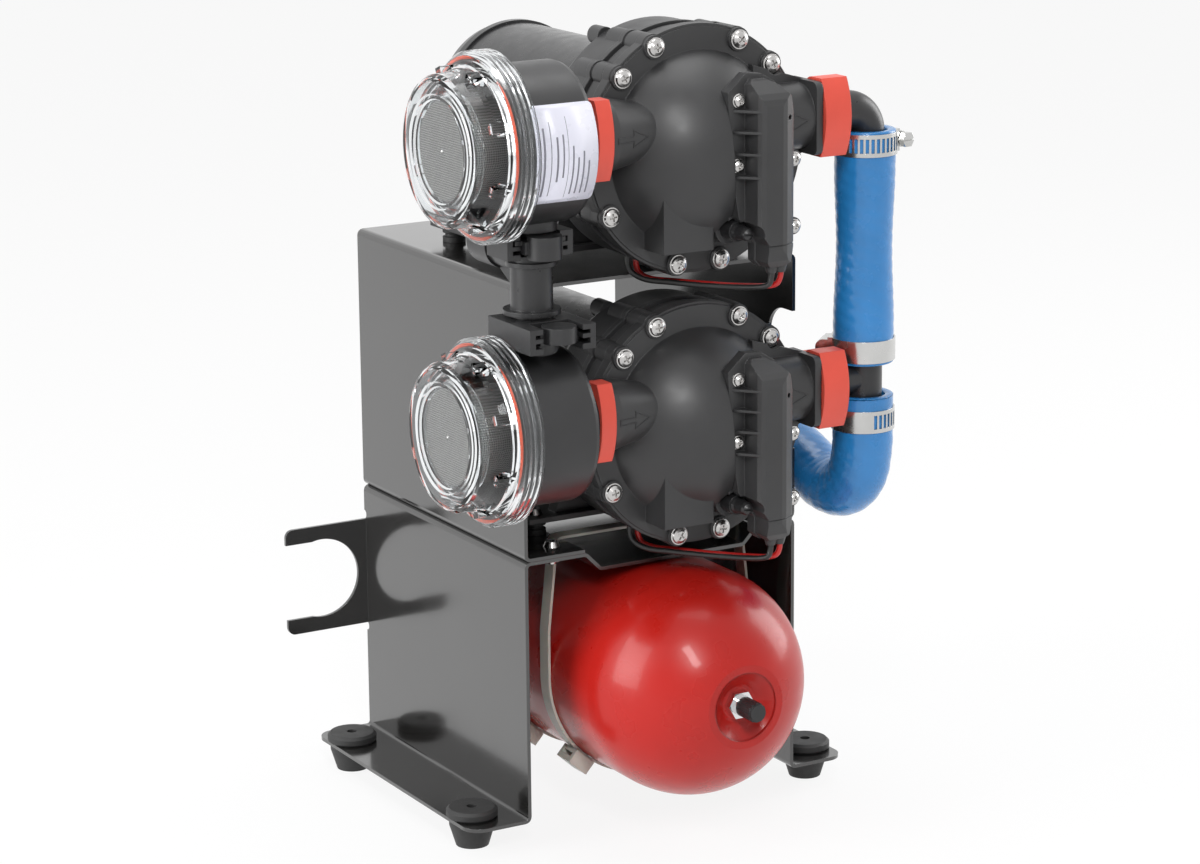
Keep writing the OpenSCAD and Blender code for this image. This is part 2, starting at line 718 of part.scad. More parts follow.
// The switch's outline, moved out by a small gap
module switch_pocket(gap) {
    centre = [18, -10];
    polygon([for (p = switch_outline) p + unit2(p - centre) * gap]);
    for (p = [2, 3]) {
        translate(switch_screws[p]) circle(r = 4.6 + gap);
        translate([30, switch_screws[p].y - 4 - gap]) square([10, 8 + 2 * gap]);
    }
}

valve_circle_r = 33;
module valve_plate_part() {
    color([0.20, 0.20, 0.21]) difference() {
        eared_plate(head_r - 2, screw_boss_r, valve_y, diaphragm_y);
        // Five pumping chambers, each with an outlet and three inlet holes
        for (i = [0:4]) rotate([0, 72 * i, 0]) {
            translate([0, 0, valve_circle_r]) {
                rod_y(12.5, diaphragm_y - 3, diaphragm_y + cut);
                for (j = [0:2]) rotate([0, 120 * j, 0]) translate([0, 0, 7]) rod_y(1.8, valve_y - cut, diaphragm_y);
            }
            translate([0, 0, 12]) rod_y(2.5, valve_y - cut, diaphragm_y + cut);
        }
        rod_y(17.5, valve_y - cut, valve_y + 2.5);
        for (s = [-1, 1]) translate([s * (boss_back_x + 20), -port_forward, port_rise])
            rod_x(port_r - 0.5 + free_gap, -20 - free_gap, 20);
    }
}

module diaphragm_part() {
    color([0.13, 0.13, 0.14]) difference() {
        union() {
            eared_plate(head_r - 3, screw_boss_r - 0.6, diaphragm_y, housing_y);
            // Five pistons reach back to the tilted wobble plate
            for (i = [0:4]) rotate([0, 72 * i, 0]) translate([0, 0, valve_circle_r])
                rod_y(8, housing_y - cut, wobble_y - free_gap - 0.5 + valve_circle_r * cos(72 * i) * tan(wobble_tilt));
        }
        // Rolling groove round each piston
        for (i = [0:4]) rotate([0, 72 * i, 0]) translate([0, 0, valve_circle_r]) difference() {
            rod_y(12, housing_y - 1, housing_y + cut);
            rod_y(9.5, housing_y - 2, housing_y + 2);
        }
    }
}

// Wobble plate on its tilted hub
wobble_y = housing_y + 7;
wobble_t = 6;
wobble_bearing_r = 12;
hub_r = 7;
hub_gap = 0.9;
module tilted() {
    translate([0, wobble_y, 0]) rotate([-wobble_tilt, 0, 0]) children();
}

module wobble_plate_part() {
    color([0.66, 0.66, 0.64]) tilted() difference() {
        union() {
            rod_y(17, 0, wobble_t + 3);
            for (i = [0:4]) rotate([0, 72 * i, 0]) {
                translate([0, 0, valve_circle_r]) rod_y(9.5, 0, wobble_t);
                translate([-5, 0, 0]) cube([10, wobble_t, valve_circle_r]);
            }
        }
        rod_y(wobble_bearing_r + 0.02, -cut, wobble_t + 3 + cut);
        for (i = [0:4]) rotate([0, 72 * i, 0]) translate([0, 0, valve_circle_r]) rod_y(2, -cut, wobble_t + cut);
    }
}

housing_wall = 4;
housing_taper = 12;
front_bearing_r = 11;
front_bearing_w = 7;
front_bearing_y = motor_y - 9;
cavity_end = motor_y - 14;
module drive_housing_part() {
    color([0.12, 0.12, 0.13]) difference() {
        union() {
            eared_plate(housing_r + 0.8, screw_boss_r, housing_y, housing_y + 4);
            turned_y() polygon([
                [0, housing_y + 1], [housing_r, housing_y + 1], [housing_r, motor_y - housing_taper],
                [housing_r - 4, motor_y - 4], [motor_r + 3, motor_y], [0, motor_y]
            ]);
            screw_places() rod_y(screw_boss_r - 0.4, housing_y + 1, housing_y + 18);
            // Boss of a through bolt on the shoulder
            translate([-27, 0, 55.5]) rod_y(5, motor_y - 12, motor_y - 1);
        }
        screw_places() rod_y(screw_hole_r, housing_y - cut, housing_y + 16);
        for (p = [red_points[9], black_points[9]]) translate([p.x, p.y, -70]) cylinder(r = lead_r + 0.1, h = 16);
        rod_y(housing_r - 12, housing_y - cut, cavity_end);
        rod_y(front_bearing_r + 0.02, front_bearing_y, front_bearing_y + front_bearing_w);
        rod_y(shaft_r + 2, cavity_end - cut, motor_y + cut);
        translate([0, front_bearing_y + front_bearing_w - 0.01, 0]) rod_y(front_bearing_r - 2, 0, motor_y);
    }
}

can_wall = 2;
magnet_t = 7;
armature_r = 32;
module motor_can_part() {
    color([0.10, 0.10, 0.11]) {
        difference() {
            rod_y(motor_r, motor_y, motor_end_y);
            rod_y(motor_r - can_wall, motor_y - cut, motor_end_y + cut);
        }
        // Two field magnets against the can's wall
        for (s = [0, 180]) rotate([0, s, 0]) intersection() {
            difference() {
                rod_y(motor_r - can_wall, motor_y + 22, motor_y + 92);
                rod_y(motor_r - can_wall - magnet_t, motor_y + 21, motor_y + 93);
            }
            translate([-motor_r, motor_y, motor_r * 0.35]) cube([2 * motor_r, motor_len, motor_r]);
        }
    }
}

end_cap_len = 21;
rear_bearing_y = motor_end_y + 6;
rear_bearing_w = 7;
rear_bearing_r = 11;
module motor_end_cap_part() {
    color([0.10, 0.10, 0.11]) difference() {
        union() {
            turned_y() polygon([
                [0, motor_end_y], [motor_r + 1.4, motor_end_y], [motor_r + 1.4, motor_end_y + 5],
                [motor_r, motor_end_y + 7], [motor_r - 1.5, motor_end_y + 14],
                [motor_r - 8, motor_end_y + end_cap_len - 3], [22, motor_end_y + end_cap_len],
                [0, motor_end_y + end_cap_len]
            ]);
            rod_y(motor_r - can_wall - 0.1, motor_end_y - 5, motor_end_y);
            for (s = [-1, 1]) translate([s * 34, 0, 0]) rod_y(3.5, motor_end_y + 4, motor_end_y + end_cap_len - 1.5);
        }
        rod_y(motor_r - can_wall - 6, motor_end_y - 5 - cut, motor_end_y + 5);
        rod_y(rear_bearing_r + 0.02, motor_end_y, rear_bearing_y + rear_bearing_w);
        rod_y(shaft_r + 1, motor_end_y, rear_bearing_y + rear_bearing_w + 2);
        // Cooling slots in a ring
        for (i = [0:9]) rotate([0, 36 * i + 18, 0]) translate([-2, motor_end_y + 3, 22]) cube([4, end_cap_len, 9]);
    }
}

armature_y = motor_y + 24;
armature_len = 66;
slots = 12;
module rotor_part() {
    color([0.60, 0.60, 0.62]) {
        rod_y(shaft_r, front_bearing_y - 1, rear_bearing_y + rear_bearing_w + 1);
        // Tilted hub that carries the wobble plate's bearing
        tilted_hub();
        difference() {
            rod_y(armature_r, armature_y, armature_y + armature_len);
            for (i = [0:slots - 1]) rotate([0, 360 / slots * i, 0])
                translate([-1.2, armature_y - cut, armature_r - 9]) cube([2.4, armature_len + 2 * cut, 10]);
        }
        // Coil ends and commutator
        for (y = [armature_y - 8, armature_y + armature_len]) turned_y() polygon([
            [shaft_r - 1, y], [22, y], [26, y + 2.5], [26, y + 5.5], [22, y + 8], [shaft_r - 1, y + 8]
        ]);
        difference() {
            rod_y(13, armature_y + armature_len + 11, armature_y + armature_len + 25);
            for (i = [0:slots - 1]) rotate([0, 360 / slots * i, 0])
                translate([-0.4, armature_y + armature_len + 10, 12]) cube([0.8, 16, 3]);
        }
    }
}

module tilted_hub() {
    intersection() {
        translate([0, wobble_y, 0]) rotate([-wobble_tilt, 0, 0]) rod_y(hub_r, -2, front_bearing_y);
        rod_y(hub_r + 4, wobble_y - 1, cavity_end - 0.6);
    }
    rod_y(shaft_r, wobble_y, front_bearing_y);
}

module bearings_part() {
    color([0.78, 0.78, 0.80]) {
        translate([0, front_bearing_y, 0]) ball_bearing(shaft_r + shaft_gap, front_bearing_r, front_bearing_w);
        translate([0, rear_bearing_y, 0]) ball_bearing(shaft_r + shaft_gap, rear_bearing_r, rear_bearing_w);
        tilted() ball_bearing(hub_r + hub_gap, wobble_bearing_r, wobble_t + 2);
    }
}

// Ring with a groove in each face between its inner and outer race
module ball_bearing(r_in, r_out, w) {
    a = r_in + (r_out - r_in) * 0.35;
    b = r_in + (r_out - r_in) * 0.65;
    turned_y() polygon([
        [r_in, 0], [a, 0], [a, 1], [b, 1], [b, 0], [r_out, 0], [r_out, w], [b, w], [b, w - 1], [a, w - 1], [a, w],
        [r_in, w]
    ]);
}

// Moulded base that straddles the motor and stands on four grommets
base_front = mount_front_y - head_y - 11;
base_back = base_front + mount_y + 22;
base_z = -pump_rise + grommet_h;
module pump_base_part() {
    color([0.13, 0.13, 0.14]) difference() {
        union() {
            translate([-mount_x / 2 - 9, base_front, base_z]) cube([mount_x + 18, base_back - base_front, base_t]);
            for (y = [base_front + 6, base_back - 14]) along_y(y, y + 8)
                polygon([[-52, base_z], [52, base_z], [41, base_z + 34], [-41, base_z + 34]]);
            translate([-36, base_front + 6, base_z]) cube([72, base_back - base_front - 12, 22]);
        }
        rod_y(motor_r + 0.1, base_front - cut, base_back + cut);
        translate([-30, base_front + 16, base_z + base_t]) cube([60, base_back - base_front - 32, 30]);
        for (s = [-1, 1]) for (y = mount_ys) translate([s * mount_x / 2, y - head_y, base_z - cut])
            cylinder(r = bolt_hole_r, h = base_t + 2 * cut);
    }
}

grommet_r = 6.4;
module pump_grommets() {
    color([0.08, 0.08, 0.08]) mount_places() for (z = [lower_seat, upper_top]) translate([0, 0, z])
        rotate_extrude() polygon([
            [bolt_r + 0.2, 0], [grommet_r, 0], [grommet_r, grommet_h * 0.35], [grommet_r - 1.4, grommet_h * 0.42],
            [grommet_r - 1.4, grommet_h * 0.58], [grommet_r, grommet_h * 0.65], [grommet_r, grommet_h],
            [bolt_r + 0.2, grommet_h]
        ]);
}

// Pan-head screw whose head sits in front of y = 0, with a cross recess
module pan_screw(head, shank, len) {
    difference() {
        union() {
            turned_y() polygon([
                [0, -3], [head * 0.5, -3], [head * 0.8, -2.2], [head * 0.88, -1], [head, -0.9], [head, 0], [0, 0]
            ]);
            rod_y(shank, -0.5, len);
        }
        for (a = [0, 90]) rotate([0, a + 20, 0]) translate([-head * 0.42, -3 - cut, -0.45])
            cube([head * 0.84, 1.5 + cut, 0.9]);
    }
}

switch_screws = [[6.4, 28.7], [6, -5], [40.5, -4.5], [40.5, -40]];
module head_screws() {
    color([0.80, 0.80, 0.82]) for (k = [0, 1]) at_pump(k) {
        screw_places() translate([0, -1.5, 0]) pan_screw(screw_head_r, screw_r, screw_depth - 6);
        for (p = switch_screws) translate([p.x, switch_plate_front, p.y]) pan_screw(3.8, 1.7, 13);
    }
}

// The switch's body: a section in X and Y, a side view in Y and Z, and its outline in X and Z
switch_section = [
    [10.5, -20], [10.5, switch_plate_front], [12, switch_front + 3.5], [13.2, switch_front + 1.2],
    [15.5, switch_front], [25.4, switch_front], [28.5, switch_front + 0.8], [33.4, switch_front + 3.8],
    [35, switch_front + 5.2], [35.4, switch_front + 7], [35.4, -20]
];
switch_side = [
    [-20, -60], [-36, -60], [-40, -58.5], [-42.6, -55], [switch_front, -49], [switch_front, 26],
    [switch_front + 0.8, 29.5], [switch_front + 3, 32.5], [-34, 38.6], [-31, 43], [-20, 43]
];
switch_roof = [
    [8, 33.5], [13, 39.6], [20.6, 39.6], [27, 36.3], [32.4, 30.4], [35, 21.6], [35, -48.6], [32.4, -56], [27.7, -59],
    [20.3, -59], [17, -55.6], [17, -46], [9, -34]
];
switch_rib_z = [23.5, 12.5, 1.2, -10.8];
switch_seam_z = -47;
exit_y = -36;
module switch_body() {
    intersection() {
        translate([0, 0, -62]) linear_extrude(108) polygon(switch_section);
        rotate([90, 0, 90]) linear_extrude(40) polygon(switch_side);
        along_y(switch_front - cut, switch_back) polygon(switch_roof);
    }
}
module pressure_switch_part() {
    color([0.14, 0.14, 0.15]) difference() {
        union() {
            along_y(switch_plate_front, switch_back) polygon(switch_outline);
            switch_body();
            // Gusset ribs from the plate to the body's left edge
            for (z = switch_rib_z) translate([0, 0, z - 0.7]) linear_extrude(1.4)
                polygon([[3.2, switch_plate_front + 1], [3.2, switch_plate_front - 0.4], [13, -42.4], [13, -30]]);
            translate([0, 0, adjuster_z - 0.7]) linear_extrude(1.4)
                polygon([[13.5, switch_plate_front + 1], [14.2, switch_plate_front - 1], [18, -40], [18, -30]]);
            for (x = lead_exits) translate([x, exit_y, -62]) cylinder(r1 = 2.5, r2 = 4.2, h = 6);
            for (p = [2, 3]) along_y(switch_plate_front, switch_back) {
                translate(switch_screws[p]) circle(r = 4.6);
                translate([34, switch_screws[p].y - 4]) square([6, 8]);
            }
        }
        // Seam of the lower cap
        translate([0, 0, switch_seam_z]) linear_extrude(0.6) difference() {
            translate([14, switch_front - cut]) square([30, 17]);
            polygon([for (p = switch_section) p + unit2([23, -24] - p) * 0.5]);
        }
        for (p = switch_screws) translate([p.x, 0, p.y]) rod_y(1.9, switch_front, switch_back + cut);
        translate([30.8, 0, 19.5]) rod_y(1.3, switch_front - cut, switch_front + 7);
        for (x = lead_exits) translate([x, exit_y, -62 - cut]) cylinder(r = lead_r + 0.1, h = 6 + cut);
        translate([adjuster_x, 0, adjuster_z]) rod_y(adjuster_r + free_gap, switch_front - cut, switch_back + cut);
    }
}

module pressure_adjuster_part() {
    color([0.12, 0.12, 0.12]) translate([adjuster_x, 0, adjuster_z]) difference() {
        union() {
            rod_y(adjuster_r, -26, -17 - free_gap);
            turned_y() polygon([
                [0, -38], [1.6, -37.6], [2.9, -36.6], [3.5, -35], [3.9, -28.5], [4.6, -26.8], [4.6, -25], [0, -25]
            ]);
            rod_y(adjuster_r - 2, -18, -8.5);
        }
        translate([-3, -38 - cut, -0.5]) cube([6, 1.5 + cut, 1]);
    }
}

// Leads from the switch, under the flange and up into the drive housing
lead_r = 1.5;
lead_exits = [23.3, 28.8];
red_points = [
    [28.8, -36, -57], [28.8, -36, -65], [26, -33, -69.5], [17.5, -19, -71.5], [4, -4, -71.5], [-8.5, 8, -70.6],
    [-17, 16, -70], [-22, 21, -67.5], [-23.5, 22.8, -63], [-23.5, 22.8, -58.5]
];
black_points = [
    [23.3, -36, -57], [23.3, -36, -65], [21, -34, -69.3], [13, -21.5, -71.2], [-1, -6.5, -71.2], [-13, 5.5, -70.4],
    [-22, 14.5, -69.6], [-27, 20.5, -66.5], [-28.5, 22.8, -62], [-28.5, 22.8, -56.5]
];
module leads(points) {
    for (k = [0, 1]) at_pump(k) swept_tube(smooth(points, 2), lead_r, 8, [0.3, 0.2, 1]);
}
module red_leads() color([0.75, 0.10, 0.08]) leads(red_points);
module black_leads() color([0.07, 0.07, 0.07]) leads(black_points);

// Strainers. Lengths run outwards from the end of the inlet boss

neck_r = 15;
neck_flange_t = 3;
neck_len = inlet_clip_w + 0.5;
shoulder_u = neck_len + 11.3;
rim_u = shoulder_u + strainer_len;
land_r = strainer_r + 4.8;
land_len = 8.5;
seal_room = 3.4;
cap_seat_u = rim_u + seal_room;
cap_front_u = cap_seat_u + cap_nose;
collar_len = 9.8;
port_u = shoulder_u + 16.9;
spigot_len = 14;
seal_groove = 1.6;
stub_r = 13.5;
module strainer_body_part(up) {
    color([0.13, 0.13, 0.14]) difference() {
        union() {
            turned_out() polygon([
                [0, -spigot_len], [socket_r - spigot_gap, -spigot_len], [socket_r - spigot_gap, -9.5],
                [socket_r - spigot_gap - seal_groove, -9.5], [socket_r - spigot_gap - seal_groove, -6.5],
                [socket_r - spigot_gap, -6.5], [socket_r - spigot_gap, 0], [neck_r, 0], [neck_r, neck_len],
                [port_r, neck_len], [port_r, neck_len + neck_flange_t], [16, neck_len + neck_flange_t],
                [16, shoulder_u], [strainer_r - 3, shoulder_u], [strainer_r - 0.8, shoulder_u + 0.8],
                [strainer_r, shoulder_u + 3], [strainer_r, rim_u - land_len], [land_r, rim_u - land_len],
                [land_r, rim_u], [0, rim_u]
            ]);
            // Stub for the manifold
            rotate([0, up ? 0 : 180, 0]) translate([up ? -port_u : port_u, 0, 0]) {
                cylinder(r = stub_r, h = strainer_r + block_gap - 0.3);
                cylinder(r = stub_spigot_r, h = strainer_r + stub_len);
            }
        }
        turned_out() polygon([
            [0, shoulder_u + strainer_wall], [strainer_r - strainer_wall, shoulder_u + strainer_wall],
            [strainer_r - strainer_wall, rim_u + cut], [0, rim_u + cut]
        ]);
        turned_out() polygon([[0, -spigot_len - cut], [9, -spigot_len - cut], [9, rim_u], [0, rim_u]]);
        rotate([0, up ? 0 : 180, 0]) translate([up ? -port_u : port_u, 0, 0]) {
            translate([0, 0, strainer_r - 8]) cylinder(r = 4.8, h = stub_len + 8 + cut);
            // Groove that the black clip's fork enters
            translate([0, 0, strainer_r + clip_groove_z]) difference() {
                cylinder(r = stub_spigot_r + cut, h = clip_groove_h);
                translate([0, 0, -cut]) cylinder(r = stub_neck_r, h = clip_groove_h + 2 * cut);
            }
        }
    }
    // Seat of the basket on the floor of the cup
    color([0.13, 0.13, 0.14]) turned_out() polygon([
        [11, shoulder_u + strainer_wall - cut], [basket_r - 1, shoulder_u + strainer_wall - cut],
        [basket_r - 1, shoulder_u + strainer_wall + 5], [basket_r - 3, shoulder_u + strainer_wall + 6],
        [11, shoulder_u + strainer_wall + 2]
    ]);
}

collar_bore_r = land_r + free_gap;
cap_wall = 2.6;
lugs = 8;
lug_len = 10;
module strainer_cap_part() {
    nose_r = cap_nose_r;
    start_u = rim_u - collar_len;
    color([0.85, 0.88, 0.90, 0.35]) {
        turned_out() polygon([
            [collar_bore_r, start_u], [cap_r - 0.8, start_u], [cap_r, start_u + 0.8],
            [cap_r, start_u + 2], [cap_r - 0.9, start_u + 2.6], [cap_r, start_u + 3.4], [cap_r, start_u + 5],
            [cap_r - 0.9, start_u + 5.6], [cap_r, start_u + 6.4], [cap_r, start_u + 8],
            [cap_r - 0.9, start_u + 8.6], [cap_r, start_u + 9.4], [cap_r, start_u + 11],
            [cap_r - 0.6, cap_seat_u - 1.6], [cap_r - 2.2, cap_seat_u + 0.4], [nose_r + 4.6, cap_seat_u + 2.6],
            [nose_r + 2.2, cap_seat_u + 6], [nose_r + 1.4, cap_seat_u + 8.6], [nose_r + 0.8, cap_front_u - 3],
            [nose_r - 0.8, cap_front_u - 0.8], [nose_r - 2.6, cap_front_u],
            [basket_r + 4.2, cap_front_u], [basket_r + 3.4, cap_front_u - 1.2], [basket_r + 1.6, cap_front_u - 1.2],
            [basket_r + 0.8, cap_front_u - 2.2], [0, cap_front_u - 2.2],
            [0, cap_front_u - 2.2 - cap_wall], [basket_r + 0.8, cap_front_u - 2.2 - cap_wall],
            [basket_r + 0.8, cap_front_u - 12], [basket_r + 2.8, cap_front_u - 12],
            [basket_r + 2.8, cap_front_u - 2.2 - cap_wall], [nose_r - cap_wall, cap_front_u - cap_wall - 1],
            [nose_r - 1.2, cap_seat_u + 7], [strainer_r - 1.6, cap_seat_u + 1.5], [strainer_r - 1.5, cap_seat_u],
            [collar_bore_r, cap_seat_u]
        ]);
        // Grip lugs round the nose
        for (i = [0:lugs - 1]) rotate([360 / lugs * i + 22.5, 0, 0])
            translate([-cap_seat_u - lug_len, -2.6, nose_r - 1]) cube([lug_len - 1, 5.2, 6]);
    }
}

seal_r = 1.35;
module strainer_seal_part() {
    color([0.90, 0.25, 0.08]) turned_out()
        translate([land_r - 1.5, rim_u + seal_room / 2]) circle(r = seal_r, $fn = 32);
}

basket_wall = 0.7;
module strainer_basket_part() {
    u0 = shoulder_u + strainer_wall + 0.1;
    u1 = cap_front_u - 2.2 - cap_wall - free_gap;
    color([0.70, 0.71, 0.72]) {
        turned_out() polygon([
            [basket_r - basket_wall, u0], [basket_r + 0.6, u0], [basket_r + 0.6, u0 + 3], [basket_r, u0 + 3.6],
            [basket_r, u1 - 0.8], [basket_r - 0.8, u1], [0, u1], [0, u1 - basket_wall],
            [basket_r - 1.1, u1 - basket_wall], [basket_r - basket_wall, u1 - 1.1]
        ]);
    }
}

// Red clip: a horseshoe that slides on to the neck from the front
module port_clip(w, x0) {
    color([0.86, 0.14, 0.12]) translate([x0, 0, 0]) rotate([90, 0, 90]) linear_extrude(w) difference() {
        union() {
            intersection() {
                translate([23, 0]) circle(r = 44.5, $fn = 96);
                round_rect([-22.5, -clip_h / 2], [-1, clip_h / 2], 6);
            }
            intersection() {
                circle(r = neck_r + 3.6);
                translate([-20, -30]) square([29, 60]);
            }
        }
        circle(r = neck_r + free_gap);
        translate([0, -neck_r - free_gap]) square([20, 2 * (neck_r + free_gap)]);
    }
}

module port_o_rings() {
    color([0.06, 0.06, 0.06]) for (k = [0, 1]) {
        at_inlet(k) o_ring(-8);
        at_outlet(k) mirror([1, 0, 0]) o_ring(-8);
    }
}
module o_ring(u) {
    turned_out() translate([socket_r - spigot_gap - 0.65, u]) circle(r = 0.85, $fn = 24);
}

// Suction manifold: a pipe between the strainers with a slide-in clip housing at each end

manifold_x = line_x - inlet_reach - port_u;
stub_spigot_r = pipe_bore_r - spigot_gap;
stub_neck_r = 6.4;
stub_len = 22;
block_h = 13;
block_gap = 3.5;
block_w = 38;
arm_w = 7.6;
block_back = 12;
arm_front = [32.5, 10];
plate_front = [17, 4];
nose_at = [28, 14];
nose_low = [4.4, 0.6];
nose_high = [12.8, 12.6];
nose_r = 9;
fork_z = 3.3;
fork_h = 6.6;
clip_groove_z = block_gap + fork_z - 0.4;
clip_groove_h = fork_h + 0.8;
// Lower and upper housings start here
block_z = [port_z[0] + strainer_r + block_gap, port_z[1] - strainer_r - block_gap];
module at_block(k) {
    translate([manifold_x, port_y, block_z[k]]) mirror([0, 0, k]) children();
}

module clip_housing(front, top_front) {
    difference() {
        union() {
            translate([-block_w / 2, -top_front, block_h - 2.8])
                cube([block_w, block_back + top_front, 2.8]);
            translate([-block_w / 2, block_back - 3, 0]) cube([block_w, 3, block_h]);
            for (s = [-1, 1]) {
                translate([s > 0 ? block_w / 2 - 3.2 : -block_w / 2, -front, 0])
                    cube([3.2, block_back + front, block_h]);
                for (z = [[0, 3], [5.9, 2.2], [block_h - 2.8, 2.8]])
                    translate([s > 0 ? block_w / 2 - arm_w : -block_w / 2, -front, z[0]])
                        cube([arm_w, block_back + front, z[1]]);
            }
        }
        translate([0, 0, -cut]) cylinder(r = pipe_bore_r, h = block_h + 2 * cut);
    }
}

branch_rise = 1.2;
branch_r = 11.5;
branch_socket_r = 12.8;
branch_socket_len = 20;
module suction_manifold() {
    z0 = block_z[0] + block_h;
    z1 = block_z[1] - block_h;
    color([0.17, 0.17, 0.18]) {
        for (k = [0, 1]) at_block(k) clip_housing(arm_front[k], plate_front[k]);
        difference() {
            translate([manifold_x, port_y, 0]) {
                translate([0, 0, z0 - 1]) cylinder(r = pipe_r, h = z1 - z0 + 2);
                translate([0, 0, z0 + 1.5]) cylinder(r = 15, h = 2.5);
                translate([0, 0, z1 - 5]) cylinder(r = 13.3, h = 2.5);
                // Branch, with a gusset where it leaves the pipe
                translate([0, 0, z1 + branch_rise]) {
                    rod_y(branch_r, pipe_bore_r + 1, branch_len - 3);
                    rod_y(branch_socket_r, branch_len - branch_socket_len, branch_len);
                }
                rotate([90, 0, 90]) translate([0, 0, -4]) linear_extrude(8)
                    polygon([[pipe_r - 2, z1 - 20], [pipe_r - 2, z1], [30, z1], [30, z1 - branch_r + 2.5]]);
            }
            translate([manifold_x, port_y, 0]) {
                translate([0, 0, z0 - 2]) cylinder(r = pipe_bore_r, h = z1 - z0 + 4);
                translate([0, 0, z1 + branch_rise]) {
                    rod_y(pipe_bore_r - 1, 0, branch_len);
                    rod_y(inlet_thread_r, branch_len - 18, branch_len + cut);
                }
            }
        }
    }
}

// Black clip: a fork in the housing's grooves with a round nose in front
module manifold_clip(k) {
    color([0.20, 0.20, 0.21]) at_block(k) difference() {
        union() {
            translate([0, -nose_at[k], nose_low[k]]) cylinder(r = nose_r, h = nose_high[k] - nose_low[k]);
            translate([-10.8, -nose_at[k], fork_z]) cube([21.6, nose_at[k] + 8, fork_h]);
            translate([-14.6, -nose_at[k] + 4, fork_z]) cube([29.2, nose_at[k] + 4, 2.3]);
        }
        for (z = [[-cut, fork_z + cut], [fork_z + fork_h, 5]])
            translate([0, 0, z[0]]) cylinder(r = pipe_r + free_gap, h = z[1]);
        cylinder(r = stub_neck_r + free_gap, h = block_h);
        translate([-stub_neck_r - free_gap, 0, 0]) cube([2 * (stub_neck_r + free_gap), 20, block_h]);
    }
}

// Outlet side

elbow_neck = outlet_clip_w + 0.6;
hose_line = hose_x - outlet_reach;
elbow_bend = 12.5;
module outlet_spigot(run_r) {
    turned_in() polygon([
        [0, -spigot_len], [socket_r - spigot_gap, -spigot_len], [socket_r - spigot_gap, -9.5],
        [socket_r - spigot_gap - seal_groove, -9.5], [socket_r - spigot_gap - seal_groove, -6.5],
        [socket_r - spigot_gap, -6.5], [socket_r - spigot_gap, 0], [neck_r, 0], [neck_r, elbow_neck],
        [port_r - 3.5, elbow_neck], [port_r - 3.5, elbow_neck + 2.4], [run_r, elbow_neck + 2.4],
        [run_r, hose_line - elbow_bend], [0, hose_line - elbow_bend]
    ]);
}
module turned_in() {
    rotate([0, 90, 0]) rotate_extrude() children();
}

leg_down = 34;
module outlet_elbow() {
    color([0.14, 0.14, 0.15]) at_outlet(1) difference() {
        union() {
            outlet_spigot(fitting_r);
            translate([hose_line - elbow_bend, 0, -elbow_bend]) rotate([90, 0, 0])
                rotate_extrude(angle = 90) translate([elbow_bend, 0]) circle(r = fitting_r);
            translate([hose_line, 0, -elbow_bend - leg_down]) cylinder(r = fitting_r, h = leg_down);
            translate([hose_line, 0, -elbow_bend - leg_down]) {
                for (i = [0:2]) translate([0, 0, 6 * i + 1]) cylinder(r1 = fitting_r, r2 = tail_r, h = 5);
            }
        }
        rod_x(7, -spigot_len - cut, hose_line - elbow_bend);
        translate([hose_line - elbow_bend, 0, -elbow_bend]) rotate([90, 0, 0])
            rotate_extrude(angle = 90) translate([elbow_bend, 0]) circle(r = 7);
        translate([hose_line, 0, -elbow_bend - leg_down - cut]) cylinder(r = 7, h = leg_down + cut);
    }
}

tee_leg = 31;
tee_run_r = 8.5;
module outlet_tee() {
    color([0.14, 0.14, 0.15]) at_outlet(0) difference() {
        union() {
            outlet_spigot(tee_run_r);
            rod_x(tee_run_r, hose_line - elbow_bend - 1, hose_line);
            translate([hose_line, 0, 0]) {
                translate([0, 0, -tee_leg]) cylinder(r = fitting_r, h = 2 * tee_leg);
                for (s = [0, 1]) mirror([0, 0, s]) for (i = [0:2]) translate([0, 0, tee_leg - 6 * (i + 1)])
                    cylinder(r1 = tail_r, r2 = fitting_r, h = 5);
            }
        }
        rod_x(6, -spigot_len - cut, hose_line);
        translate([hose_line, 0, -tee_leg - cut]) cylinder(r = 7, h = 2 * tee_leg + 2 * cut);
    }
}

hose_cx = line_x + hose_x;
upper_hose_z = [port_z[0] + 8.9, port_z[1] - 11];
module upper_hose() {
    z0 = upper_hose_z[0];
    z1 = upper_hose_z[1];
    h = z1 - z0;
    color([0.10, 0.42, 0.80]) translate([hose_cx, port_y, 0]) rotate_extrude() polygon(concat(
        [[hose_bore_r, z0], [hose_r - 0.7, z0], [hose_r, z0 + 0.7], [hose_r, z0 + 20]],
        [for (i = [1:9]) [hose_r - (hose_r - hose_waist_r) * pow(sin(18 * i), 2), z0 + 20 + (h - 40) * i / 10]],
        [[hose_r, z1 - 20], [hose_r, z1 - 0.7], [hose_r - 0.7, z1], [hose_bore_r, z1]]
    ));
}

